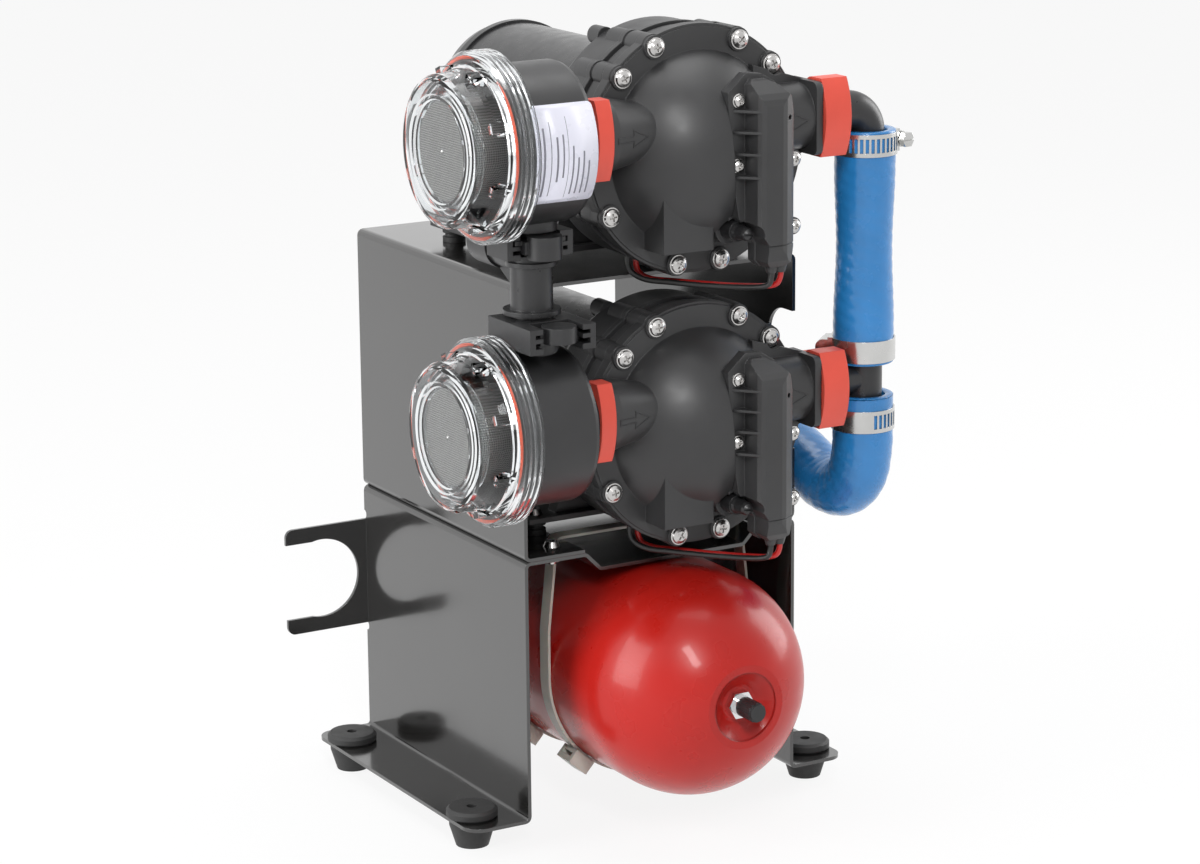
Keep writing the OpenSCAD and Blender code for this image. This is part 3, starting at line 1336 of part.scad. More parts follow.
// Route of the lower hose from the outlet tee to the tank tee, chosen by hand
hose_clear = 6.5;
hose_side = leg_x + hose_r + hose_clear;
lower_hose_top = port_z[0] - 8.9;
lower_hose_end = line_x + tail_start + 6;
hose_route = [
    [hose_cx, port_y, lower_hose_top], [hose_cx, port_y, lower_hose_top - 14],
    [hose_cx, port_y, lower_hose_top - 30], [hose_cx - 0.5, port_y + 4, lower_hose_top - 46],
    [hose_side, port_y + 16, lower_hose_top - 56], [hose_side, port_y + 34, lower_hose_top - 57],
    [hose_side, port_y + 56, lower_hose_top - 49], [hose_side, -42, 194], [hose_side, -12, 200],
    [hose_side, 18, 197], [hose_side, 46, 185], [hose_side, 70, 166], [hose_side - 1, 92, 143],
    [hose_side - 9, 110, 120], [hose_cx - 28, tee_y + 5, 101], [hose_cx - 49, tee_y + 1, 89],
    [lower_hose_end + 16, tee_y, tank_z], [lower_hose_end, tee_y, tank_z]
];
module lower_hose() {
    color([0.08, 0.35, 0.72]) difference() {
        swept_tube(smooth(hose_route, 2), hose_r, 16, [0.2, 0.35, 1]);
        translate([hose_cx, port_y, lower_hose_top - 23]) cylinder(r = hose_bore_r, h = 24);
        translate([0, tee_y, tank_z]) rod_x(hose_bore_r, lower_hose_end - cut, lower_hose_end + 24);
    }
}

// Worm clamp round the Z axis, with its screw housing towards +X
band_t = 0.8;
band_gap = 0.1;
band_slots = 11;
module worm_clamp() {
    r0 = hose_r + band_gap;
    difference() {
        union() {
            translate([0, 0, -band_w / 2]) cylinder(r = r0 + band_t, h = band_w);
            translate([r0 - 3, -8, -band_w / 2]) cube([4.5, 16, band_w]);
            // Housing over the screw
            translate([r0 + 4.2, 6.5, 0]) rotate([90, 0, 0]) cylinder(r = 4.4, h = 13);
            translate([r0 + 0.5, -6.5, -4.4]) cube([4, 13, 8.8]);
        }
        translate([0, 0, -band_w]) cylinder(r = r0, h = 2 * band_w);
        for (i = [0:band_slots - 1]) rotate(-60 - 10 * i) translate([r0 - cut, -0.9, -band_w / 2 + 2.2])
            cube([3, 1.8, band_w - 4.4]);
    }
    // Slotted hexagon head of the worm
    translate([r0 + 4.2, -6.5, 0]) rotate([90, 0, 0]) difference() {
        union() {
            cylinder(r = 2.6, h = 3);
            translate([0, 0, 2]) cylinder(r = 4.3, h = 3.6, $fn = 6);
        }
        translate([-5, -0.5, 4.4]) cube([10, 1, 3]);
    }
}
clamp_spots = [port_z[1] - 18.2, port_z[0] + 16.6, port_z[0] - 22];
clamp_turns = [10, 135, 60];
module hose_clamps() {
    color([0.80, 0.81, 0.82]) {
        for (i = [0:2]) translate([hose_cx, port_y, clamp_spots[i]]) rotate(clamp_turns[i]) worm_clamp();
        translate([lower_hose_end + 11, tee_y, tank_z]) rotate([0, 90, 0]) rotate(90) worm_clamp();
    }
}

module lower_head_cover() at_pump(0) head_cover_part();
module upper_head_cover() at_pump(1) head_cover_part();
module lower_valve_plate() at_pump(0) valve_plate_part();
module upper_valve_plate() at_pump(1) valve_plate_part();
module lower_diaphragm() at_pump(0) diaphragm_part();
module upper_diaphragm() at_pump(1) diaphragm_part();
module lower_wobble_plate() at_pump(0) wobble_plate_part();
module upper_wobble_plate() at_pump(1) wobble_plate_part();
module lower_drive_housing() at_pump(0) drive_housing_part();
module upper_drive_housing() at_pump(1) drive_housing_part();
module lower_motor_can() at_pump(0) motor_can_part();
module upper_motor_can() at_pump(1) motor_can_part();
module lower_motor_end_cap() at_pump(0) motor_end_cap_part();
module upper_motor_end_cap() at_pump(1) motor_end_cap_part();
module lower_rotor() at_pump(0) rotor_part();
module upper_rotor() at_pump(1) rotor_part();
module lower_bearings() at_pump(0) bearings_part();
module upper_bearings() at_pump(1) bearings_part();
module lower_pump_base() at_pump(0) pump_base_part();
module upper_pump_base() at_pump(1) pump_base_part();
module lower_pressure_switch() at_pump(0) pressure_switch_part();
module upper_pressure_switch() at_pump(1) pressure_switch_part();
module lower_pressure_adjuster() at_pump(0) pressure_adjuster_part();
module upper_pressure_adjuster() at_pump(1) pressure_adjuster_part();
module lower_strainer_body() at_inlet(0) strainer_body_part(true);
module upper_strainer_body() at_inlet(1) strainer_body_part(false);
module lower_strainer_cap() at_inlet(0) strainer_cap_part();
module upper_strainer_cap() at_inlet(1) strainer_cap_part();
module lower_strainer_seal() at_inlet(0) strainer_seal_part();
module upper_strainer_seal() at_inlet(1) strainer_seal_part();
module lower_strainer_basket() at_inlet(0) strainer_basket_part();
module upper_strainer_basket() at_inlet(1) strainer_basket_part();
module lower_inlet_clip() at_inlet(0) port_clip(inlet_clip_w, -inlet_clip_w - 0.25);
module upper_inlet_clip() at_inlet(1) port_clip(inlet_clip_w, -inlet_clip_w - 0.25);
module lower_outlet_clip() at_outlet(0) port_clip(outlet_clip_w, 0.3);
module upper_outlet_clip() at_outlet(1) port_clip(outlet_clip_w, 0.3);
module lower_manifold_clip() manifold_clip(0);
module upper_manifold_clip() manifold_clip(1);

lower_frame();
upper_frame();
frame_bolts();
rubber_feet();
tank_shell();
tank_bladder();
tank_air_valve();
tank_valve_core();
tank_valve_cap();
tank_straps();
tank_tee();
lower_head_cover();
upper_head_cover();
lower_valve_plate();
upper_valve_plate();
lower_diaphragm();
upper_diaphragm();
lower_wobble_plate();
upper_wobble_plate();
lower_drive_housing();
upper_drive_housing();
lower_motor_can();
upper_motor_can();
lower_motor_end_cap();
upper_motor_end_cap();
lower_rotor();
upper_rotor();
lower_bearings();
upper_bearings();
lower_pump_base();
upper_pump_base();
pump_grommets();
head_screws();
lower_pressure_switch();
upper_pressure_switch();
lower_pressure_adjuster();
upper_pressure_adjuster();
red_leads();
black_leads();
lower_strainer_body();
upper_strainer_body();
lower_strainer_cap();
upper_strainer_cap();
lower_strainer_seal();
upper_strainer_seal();
lower_strainer_basket();
upper_strainer_basket();
lower_inlet_clip();
upper_inlet_clip();
lower_outlet_clip();
upper_outlet_clip();
port_o_rings();
suction_manifold();
lower_manifold_clip();
upper_manifold_clip();
outlet_elbow();
outlet_tee();
upper_hose();
lower_hose();
hose_clamps();
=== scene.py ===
"""Looks of the twin pump set: materials, hoses, leads, rivets, label, arrows, camera, floor and light."""
import json
import math

import bmesh
import bpy
from mathutils import Matrix, Quaternion, Vector
from mathutils.bvhtree import BVHTree


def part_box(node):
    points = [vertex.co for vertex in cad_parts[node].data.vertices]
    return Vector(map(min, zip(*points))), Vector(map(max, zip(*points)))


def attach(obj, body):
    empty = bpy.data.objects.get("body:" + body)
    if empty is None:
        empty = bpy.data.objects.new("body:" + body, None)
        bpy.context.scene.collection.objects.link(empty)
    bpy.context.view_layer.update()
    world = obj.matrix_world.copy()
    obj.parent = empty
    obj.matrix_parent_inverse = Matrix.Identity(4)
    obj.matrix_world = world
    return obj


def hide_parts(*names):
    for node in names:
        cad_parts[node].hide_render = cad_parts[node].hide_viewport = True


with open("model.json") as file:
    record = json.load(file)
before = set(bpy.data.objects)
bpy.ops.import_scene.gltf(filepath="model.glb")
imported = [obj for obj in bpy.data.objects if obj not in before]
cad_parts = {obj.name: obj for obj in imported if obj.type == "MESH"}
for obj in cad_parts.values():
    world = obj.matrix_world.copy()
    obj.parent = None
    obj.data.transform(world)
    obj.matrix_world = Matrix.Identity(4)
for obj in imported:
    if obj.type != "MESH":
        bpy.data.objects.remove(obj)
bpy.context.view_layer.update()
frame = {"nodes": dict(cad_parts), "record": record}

# The pieces are laid out in millimetres. Materials, floor, camera and lamps are in metres.
MM = 0.001
ROOT = "assembly"
LEVELS = ("lower", "upper")


def box_of(name):
    """Lowest and highest corner of a CAD node in millimetres."""
    low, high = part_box(name)
    return low / MM, high / MM


def centre_of(name):
    low, high = box_of(name)
    return (low + high) / 2


# Places in the CAD that the pieces are hung on
LINE_X = centre_of("tank_shell").x
TANK_Z = centre_of("tank_shell").z
PORT_Y = centre_of("lower_strainer_basket").y
PORT_Z = [centre_of(level + "_strainer_basket").z for level in LEVELS]
HOSE_X = centre_of("upper_hose").x
HOSE_R = (box_of("upper_hose")[1].x - box_of("upper_hose")[0].x) / 2
TEE_GAP = 2.5  # between the upper frame's rear edge and the hose on the tank's tee
TEE_Y = box_of("upper_frame")[1].y + HOSE_R + TEE_GAP


# Materials

NOISE_DETAIL = 3.0
PATCH_DETAIL = 4.0
GRAIN_DETAIL = 2.0
UNEVEN_SCALE = 3.1  # scale of the uneven roughness, as a multiple of the patches' scale
GRAIN_DEPTH = 0.0002
BEVEL_SAMPLES = 4


def new_node(tree, kind, **settings):
    made = tree.nodes.new(kind)
    for name, value in settings.items():
        setattr(made, name, value)
    return made


def set_inputs(made, values):
    for name, value in values.items():
        made.inputs[name].default_value = value


def combine(tree, operation, *values, **settings):
    """The result of a math node; each value is a socket or a number."""
    made = new_node(tree, "ShaderNodeMath", operation=operation, **settings)
    for i, value in enumerate(values):
        if isinstance(value, bpy.types.NodeSocket):
            tree.links.new(value, made.inputs[i])
        else:
            made.inputs[i].default_value = value
    return made.outputs[0]


def noise(tree, coordinates, scale, detail=NOISE_DETAIL, stretch=None):
    made = new_node(tree, "ShaderNodeTexNoise")
    set_inputs(made, {"Scale": scale, "Detail": detail})
    source = coordinates
    if stretch:
        mapping = new_node(tree, "ShaderNodeMapping")
        set_inputs(mapping, {"Scale": stretch})
        tree.links.new(coordinates, mapping.inputs["Vector"])
        source = mapping.outputs["Vector"]
    tree.links.new(source, made.inputs["Vector"])
    return made.outputs["Fac"]


def spread(tree, value, low, high, low_in=0.3, high_in=0.7):
    """A value mapped from low_in and high_in to low and high; the defaults suit a noise."""
    made = new_node(tree, "ShaderNodeMapRange")
    set_inputs(made, {"From Min": low_in, "From Max": high_in, "To Min": low, "To Max": high})
    tree.links.new(value, made.inputs["Value"])
    return made.outputs["Result"]


def blend_colors(tree, factor, first, second):
    made = new_node(tree, "ShaderNodeMix", data_type="RGBA")
    sockets = [s for s in made.inputs if s.type == "RGBA"]
    for color_socket, color in zip(sockets, (first, second)):
        color_socket.default_value = (*color, 1)
    tree.links.new(factor, made.inputs[0])
    return next(s for s in made.outputs if s.type == "RGBA")


def new_material(name):
    """A material with its node tree, its principled shader and the coordinates that its patterns use."""
    made = bpy.data.materials.new(name)
    made.use_nodes = True
    tree = made.node_tree
    coordinates = new_node(tree, "ShaderNodeTexCoord").outputs["Object"]
    return made, tree, tree.nodes["Principled BSDF"], coordinates


def vary_roughness(tree, main, coordinates, low, high, scale):
    tree.links.new(spread(tree, noise(tree, coordinates, scale), low, high), main.inputs["Roughness"])


def add_relief(tree, main, height, strength, depth=GRAIN_DEPTH, edge=0.0, invert=False):
    """Bump from a height, on edges that look rounded by the radius edge."""
    bump = new_node(tree, "ShaderNodeBump", invert=invert)
    set_inputs(bump, {"Strength": strength, "Distance": depth})
    tree.links.new(height, bump.inputs["Height"])
    if edge:
        soft = new_node(tree, "ShaderNodeBevel", samples=BEVEL_SAMPLES)
        set_inputs(soft, {"Radius": edge})
        tree.links.new(soft.outputs["Normal"], bump.inputs["Normal"])
    tree.links.new(bump.outputs["Normal"], main.inputs["Normal"])


def surface(name, color, rough, metal=0.0, shift=0.12, patch=45.0, grain=1200.0, relief=0.05,
            rough_shift=0.06, edge=0.0004, stretch=None, extra=None):
    """A material with patches of colour, uneven roughness, a fine grain and soft edges.

    shift is the share by which the colour varies, patch and grain are the scales of the two patterns,
    relief is the grain's strength, and extra holds more values for the shader.
    """
    made, tree, main, coordinates = new_material(name)
    dark = tuple(max(0.0, c * (1 - shift)) for c in color)
    light = tuple(min(1.0, c * (1 + shift)) for c in color)
    patches = spread(tree, noise(tree, coordinates, patch, PATCH_DETAIL), 0, 1)
    tree.links.new(blend_colors(tree, patches, dark, light), main.inputs["Base Color"])
    vary_roughness(tree, main, coordinates, low=rough - rough_shift, high=rough + rough_shift,
                   scale=patch * UNEVEN_SCALE)
    add_relief(tree, main, noise(tree, coordinates, grain, GRAIN_DETAIL, stretch), relief, edge=edge)
    set_inputs(main, {"Metallic": metal, **(extra or {})})
    return made


def clear_plastic():
    """Glass-clear plastic, slightly wavy as moulded."""
    made, tree, main, coordinates = new_material("clear_plastic")
    set_inputs(main, {"Base Color": (0.93, 0.95, 0.96, 1), "Transmission Weight": 1.0, "IOR": 1.4})
    vary_roughness(tree, main, coordinates, low=0.015, high=0.06, scale=220.0)
    add_relief(tree, main, noise(tree, coordinates, scale=60.0, detail=1.0), strength=0.05, depth=0.0003)
    return made


WEAVE_PITCH = 2.4
WEAVE_RATE = 2 * math.pi / (WEAVE_PITCH * MM)
WEAVE_EDGES = (-0.1, 0.3)  # heights of the crossed waves where the wire ends and the hole is full
WIRE_COLOR = (0.34, 0.33, 0.31)
# painted shade: the mesh's holes are coloured near black for the dark inside of the basket behind them
HOLE_SHADE_COLOR = (0.03, 0.03, 0.03)


def mesh_basket():
    """Woven stainless mesh: two crossed sets of waves make the wires, and the holes between them get
    painted shade, dark as the inside of the basket seen through them.
    """
    made, tree, main, coordinates = new_material("basket_mesh")
    set_inputs(main, {"Metallic": 1.0})
    parts = new_node(tree, "ShaderNodeSeparateXYZ")
    tree.links.new(coordinates, parts.inputs[0])
    x, y, z = (combine(tree, "MULTIPLY", parts.outputs[axis], WEAVE_RATE) for axis in "XYZ")
    slopes = [combine(tree, "ADD", combine(tree, turn, y, z), x) for turn in ("ADD", "SUBTRACT")]
    crossed = combine(tree, "MULTIPLY", *(combine(tree, "SINE", slope) for slope in slopes))
    shaded_holes = spread(tree, crossed, 0, 1, *WEAVE_EDGES)
    # the holes take the painted shade colour and the wires their own colour
    tree.links.new(blend_colors(tree, shaded_holes, WIRE_COLOR, HOLE_SHADE_COLOR), main.inputs["Base Color"])
    vary_roughness(tree, main, coordinates, low=0.28, high=0.4, scale=139.5)
    add_relief(tree, main, shaded_holes, strength=0.5, invert=True)
    return made


# The first part holds the record's material slots; the label's two finishes come last
SURFACES = {
    "frame_black": dict(
        color=(0.012, 0.0115, 0.011), rough=0.16, relief=0.02, grain=900, patch=12, rough_shift=0.03,
        extra={"Specular IOR Level": 1.0, "Coat Weight": 0.5, "Coat Roughness": 0.1}),
    "bright_screws": dict(color=(0.54, 0.53, 0.52), rough=0.24, metal=1.0, shift=0.06, edge=0.0002),
    "foot_rubber": dict(color=(0.022, 0.022, 0.022), rough=0.6, relief=0.15, grain=1600, edge=0.0006),
    "tank_red": dict(
        color=(0.44, 0.012, 0.008), rough=0.3, shift=0.05, patch=18, relief=0.02, grain=500, edge=0.0008,
        extra={"Specular IOR Level": 0.3, "Coat Weight": 0.14, "Coat Roughness": 0.05}),
    "bladder_rubber": dict(color=(0.03, 0.026, 0.022), rough=0.6),
    "valve_metal": dict(color=(0.72, 0.72, 0.73), rough=0.14, metal=1.0, shift=0.05, edge=0.0002),
    "valve_brass": dict(color=(0.68, 0.5, 0.22), rough=0.25, metal=1.0, shift=0.06, edge=0.0001),
    "cap_black": dict(color=(0.016, 0.016, 0.017), rough=0.38, edge=0.0003),
    "strap_nylon": dict(
        color=(0.56, 0.54, 0.48), rough=0.38, shift=0.06, relief=0.08, grain=1300,
        extra={"Subsurface Weight": 0.15, "Subsurface Scale": 0.002}),
    "fitting_black": dict(color=(0.021, 0.021, 0.022), rough=0.33, relief=0.06, grain=1500, edge=0.0006),
    "head_plastic": dict(
        color=(0.030, 0.030, 0.031), rough=0.4, relief=0.13, grain=1700, shift=0.16, patch=25,
        edge=0.0008),
    "diaphragm_rubber": dict(color=(0.02, 0.02, 0.021), rough=0.6),
    "inner_plastic": dict(color=(0.42, 0.42, 0.4), rough=0.5),
    "motor_black": dict(
        color=(0.014, 0.014, 0.015), rough=0.3, relief=0.04, grain=1000, shift=0.2, edge=0.0006,
        extra={"Coat Weight": 0.2, "Coat Roughness": 0.15}),
    "rotor_steel": dict(color=(0.42, 0.4, 0.37), rough=0.35, metal=1.0, stretch=(1, 0.05, 1)),
    "bearing_steel": dict(color=(0.6, 0.6, 0.62), rough=0.22, metal=1.0, edge=0.0002),
    "lead_red": dict(color=(0.46, 0.012, 0.01), rough=0.36, edge=0),
    "lead_black": dict(color=(0.014, 0.014, 0.014), rough=0.36, edge=0),
    "strainer_plastic": dict(
        color=(0.024, 0.024, 0.025), rough=0.36, relief=0.1, grain=1500, shift=0.15, patch=25,
        edge=0.0008),
    "seal_orange": dict(color=(0.85, 0.085, 0.02), rough=0.4, shift=0.05, edge=0),
    "clip_red": dict(color=(0.74, 0.085, 0.055), rough=0.42, shift=0.05, edge=0.0008),
    "ring_rubber": dict(color=(0.015, 0.015, 0.015), rough=0.5, edge=0),
    "hose_blue": dict(
        color=(0.022, 0.22, 0.56), rough=0.25, shift=0.1, patch=30, grain=700, relief=0.06,
        extra={"Coat Weight": 0.35, "Coat Roughness": 0.12}),
    "clamp_steel": dict(
        color=(0.58, 0.58, 0.57), rough=0.24, metal=1.0, shift=0.08, stretch=(1, 1, 14), relief=0.08,
        edge=0.0002),
    "label_white": dict(color=(0.76, 0.76, 0.86), rough=0.3, shift=0.012, relief=0.02, edge=0),
    "label_grey": dict(color=(0.2, 0.2, 0.24), rough=0.35, shift=0.03, relief=0.02, edge=0),
}
MATERIALS = {name: surface(name, **look) for name, look in SURFACES.items()}
MATERIALS["clear_plastic"] = clear_plastic()
MATERIALS["basket_mesh"] = mesh_basket()


def paint_nodes():
    slots = {row["node"]: row["material_slot"] for row in frame["record"]["subparts"]}
    for name, shown in frame["nodes"].items():
        shown.data.materials.clear()
        shown.data.materials.append(MATERIALS[slots[name]])


# Mesh pieces

def add_mesh(name, points, faces, slot, look=None, smooth=True):
    """A new piece from points in millimetres; look is its material where that isn't the slot's own."""
    data = bpy.data.meshes.new(name)
    data.from_pydata([Vector(p) * MM for p in points], [], faces)
    data.validate()
    made = bpy.data.objects.new(name, data)
    bpy.context.scene.collection.objects.link(made)
    shape = bmesh.new()
    shape.from_mesh(data)
    bmesh.ops.recalc_face_normals(shape, faces=shape.faces)
    shape.to_mesh(data)
    shape.free()
    data.polygons.foreach_set("use_smooth", [smooth] * len(data.polygons))
    data.materials.append(MATERIALS[look or slot])
    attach(made, ROOT)
    return made


def curve_point(a, b, c, d, t):
    """A point between b and c on a smooth curve through all four."""
    return 0.5 * (2 * b + (c - a) * t + (2 * a - 5 * b + 4 * c - d) * t * t
                  + (3 * b - a - 3 * c + d) * t ** 3)


def smooth_path(corners, steps):
    """Points on a smooth curve through the corners, with steps from one corner to the next."""
    p = [Vector(c) for c in corners]
    last = len(p) - 1
    path = [curve_point(p[max(i - 1, 0)], p[i], p[i + 1], p[min(i + 2, last)], j / steps)
            for i in range(last) for j in range(steps)]
    return path + [p[last]]


def turns(count):
    """Angles evenly spaced round a circle."""
    return [2 * math.pi * j / count for j in range(count)]


def rings_along(path, radii, sides):
    """Rings of points square to a path, turned as little as possible from one to the next."""
    last = len(path) - 1
    tangents = [(path[min(i + 1, last)] - path[max(i - 1, 0)]).normalized() for i in range(len(path))]
    side = tangents[0].orthogonal().normalized()
    rings = []
    for point, along, radius in zip(path, tangents, radii):
        side = (side - along * side.dot(along)).normalized()
        other = along.cross(side)
        rings.append([point + (side * math.cos(a) + other * math.sin(a)) * radius for a in turns(sides)])
    return rings


def loft(rings, close=False):
    """Points and faces that join rings of equal length; close joins the last to the first."""
    sides = len(rings[0])
    points = [p for ring in rings for p in ring]
    starts = [i * sides for i in range(len(rings))]
    nexts = starts[1:] + starts[:1] if close else starts[1:]
    faces = [(a + j, a + (j + 1) % sides, b + (j + 1) % sides, b + j)
             for a, b in zip(starts, nexts) for j in range(sides)]
    return points, faces


def closed_loft(rings):
    """A loft with a face over its first and its last ring."""
    points, faces = loft(rings)
    sides = len(rings[0])
    faces += [tuple(range(sides)), tuple(range(len(points) - sides, len(points)))]
    return points, faces


# Hoses

HOSE_SIDES = 72
HOSE_BORE = 11.9
RIDGE_STARTS = 5     # ridges side by side round the hose
RIDGE_PITCH = 7.2    # from one ridge to the next along the hose
RIDGE_HEIGHT = 0.16
RIDGE_CREST = 0.2    # the part of the wave above this stays at the hose's full radius
PLAIN_END = 4
RIDGE_FADE = 10      # the length over which the ridges grow to full height
LIP = 0.8
LIP_STEP = 0.3
LIP_RISE = 0.24


def hose_end(ring, centre, inward, depth):
    """Rings from the skin round the lip and down the bore to a depth."""
    radius = (ring[0] - centre).length
    profile = ((radius, LIP), (radius - LIP_STEP, LIP_RISE), (radius - LIP, 0.0), (HOSE_BORE + LIP, 0.0),
               (HOSE_BORE + LIP_STEP, LIP_RISE), (HOSE_BORE, LIP), (HOSE_BORE, depth))
    return [[centre + inward * along + (p - centre).normalized() * r for p in ring]
            for r, along in profile]


def hose(name, path, radii, depths, replaced):
    """A hose with slanted ridges in its skin and bores as deep as the fittings in its two ends."""
    lengths = [0.0]
    for a, b in zip(path, path[1:]):
        lengths.append(lengths[-1] + (b - a).length)
    skin = rings_along(path, radii, HOSE_SIDES)
    for ring, centre, at in zip(skin, path, lengths):
        from_end = min(at, lengths[-1] - at)
        growth = min(1.0, max(0.0, (from_end - PLAIN_END) / RIDGE_FADE))
        for j, point in enumerate(ring):
            wave = math.sin(2 * math.pi * (at / RIDGE_PITCH + RIDGE_STARTS * j / HOSE_SIDES))
            outward = (point - centre).normalized()
            ring[j] = point + outward * (min(0.0, wave - RIDGE_CREST) * RIDGE_HEIGHT * growth)
    first = hose_end(skin[0], path[0], (path[1] - path[0]).normalized(), depths[0])
    second = hose_end(skin[-1], path[-1], (path[-2] - path[-1]).normalized(), depths[1])
    made = add_mesh(name, *closed_loft(first[::-1] + skin[1:-1] + second), "hose_blue")
    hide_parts(replaced)


UPPER_STEP = 1.2
UPPER_WAIST = 1.3    # how far the upper hose draws in between its clamps
UPPER_CLAMPED = 20   # length at each end that keeps the full radius


def upper_hose():
    low, high = box_of("upper_hose")
    length = high.z - low.z
    count = int(length / UPPER_STEP)
    path = [Vector((HOSE_X, PORT_Y, low.z + length * i / count)) for i in range(count + 1)]
    radii = []
    for point in path:
        share = (point.z - low.z - UPPER_CLAMPED) / (length - 2 * UPPER_CLAMPED)
        radii.append(HOSE_R - UPPER_WAIST * math.sin(math.pi * min(1, max(0, share))) ** 2)
    hose("blue_hose_upper", path, radii, depths=(23.0, 23.0), replaced="upper_hose")


LOWER_TOP = PORT_Z[0] - 8.9   # where the lower hose starts, under the outlet tee
LOWER_END = LINE_X + 21       # where it ends, on the tank's tee
LOWER_ROUTE = [
    (HOSE_X, PORT_Y, LOWER_TOP), (HOSE_X, PORT_Y, LOWER_TOP - 14), (HOSE_X, PORT_Y, LOWER_TOP - 30),
    (HOSE_X - 0.5, PORT_Y + 4, LOWER_TOP - 46), (HOSE_X - 1, PORT_Y + 16, LOWER_TOP - 56),
    (HOSE_X - 1, PORT_Y + 34, LOWER_TOP - 57), (HOSE_X - 1, PORT_Y + 56, LOWER_TOP - 49),
    (HOSE_X - 1, -42, 194), (HOSE_X - 1, -12, 200), (HOSE_X - 1, 18, 197), (HOSE_X - 1, 46, 185),
    (HOSE_X - 1, 70, 166), (HOSE_X - 2, 92, 143), (HOSE_X - 10, 110, 120),
    (HOSE_X - 28, TEE_Y + 5, 101), (HOSE_X - 49, TEE_Y + 1, 89),
    (LOWER_END + 16, TEE_Y, TANK_Z), (LOWER_END, TEE_Y, TANK_Z)
]
LOWER_STEPS = 14


def lower_hose():
    path = smooth_path(LOWER_ROUTE, LOWER_STEPS)
    hose("blue_hose_lower", path, [HOSE_R] * len(path), depths=(22.0, 23.0), replaced="lower_hose")


# Leads; their routes start from a point near each pump's ports

LEAD_OFFSET = Vector((0, 5, -13.4))
LEAD_ORIGINS = [Vector((LINE_X, PORT_Y, z)) + LEAD_OFFSET for z in PORT_Z]
LEAD_R = 1.5
LEAD_SIDES = 20
LEAD_STEPS = 8
RED_ROUTE = [
    (28.8, -36, -57), (28.8, -36, -65), (26, -33, -69.5), (17.5, -19, -71.5), (4, -4, -71.5),
    (-8.5, 8, -70.6), (-17, 16, -70), (-22, 21, -67.5), (-23.5, 22.8, -63), (-23.5, 22.8, -58.5)
]
BLACK_ROUTE = [
    (23.3, -36, -57), (23.3, -36, -65), (21, -34, -69.3), (13, -21.5, -71.2), (-1, -6.5, -71.2),
    (-13, 5.5, -70.4), (-22, 14.5, -69.6), (-27, 20.5, -66.5), (-28.5, 22.8, -62), (-28.5, 22.8, -56.5)
]


def leads(name, corners, slot, replaced):
    """One lead at each pump, as one piece."""
    points, faces = [], []
    for origin in LEAD_ORIGINS:
        path = [p + origin for p in smooth_path(corners, LEAD_STEPS)]
        more, joined = closed_loft(rings_along(path, [LEAD_R] * len(path), LEAD_SIDES))
        faces += [tuple(i + len(points) for i in face) for face in joined]
        points += more
    made = add_mesh(name, points, faces, slot)
    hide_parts(replaced)


# Rivets in the ends of the baskets

RIVET_SIDES = 24
RIVET_TIP = -0.9
RIVET_PROFILE = [(-0.8, 0.7), (-0.45, 1.35), (0.3, 1.8)]  # along the basket from its face, and radius


def basket_rivet(level):
    name = LEVELS[level]
    centre = Vector((box_of(name + "_strainer_basket")[0].x, PORT_Y, PORT_Z[level]))
    rings = [[centre + Vector((x, r * math.cos(a), r * math.sin(a))) for a in turns(RIVET_SIDES)]
             for x, r in RIVET_PROFILE]
    points, faces = loft(rings)
    tip = len(points)
    faces += [(j, (j + 1) % RIVET_SIDES, tip) for j in range(RIVET_SIDES)]
    faces.append(tuple(range(tip - RIVET_SIDES, tip)))
    points.append(centre + Vector((RIVET_TIP, 0, 0)))
    add_mesh(name + "_basket_rivet", points, faces, "bright_screws")


# Label on the upper strainer

STRAINER_R = 41.2
PLATE_ROWS = 40
CORNER_STEPS = 8
SORT_DIGITS = 4
LABEL_WIDTH = 35
LABEL_RIGHT = LINE_X - 85.7
LABEL_LEFT = LABEL_RIGHT - LABEL_WIDTH
LABEL_SPAN = (-27, 26)      # from its low edge to its high edge, round the strainer
LABEL_CORNER = 2.5
LABEL_LAYER = (0.05, 0.12)  # lift off the wall, and thickness
BAR_CORNER = 0.3
BAR_MARGIN = 0.02           # keeps a narrow bar's corners apart
BAR_LAYER = (0.16, 0.03)
BARS = [  # place from the label's left edge, low end, high end, width
    (4, -22, 14, 1.2), (8.2, -22, 17, 0.5), (11.5, -14, 9, 1.1), (15, -12, 10, 0.9), (18, -24, 19, 0.3),
    (20.5, -22, 4, 0.9), (23.5, -22, -2, 0.9), (26.5, -22, 1, 0.9), (29.5, -22, -4, 0.9)
]


def wrapped(x, around, radius):
    """A point over the strainer's wall: x along it, around up its front."""
    angle = around / STRAINER_R
    return Vector((x, PORT_Y - radius * math.cos(angle), PORT_Z[1] + radius * math.sin(angle)))


def from_lowest(loop):
    """The same loop of corners, started at its lowest."""
    start = loop.index(min(loop))
    return tuple(loop[start:] + loop[:start])


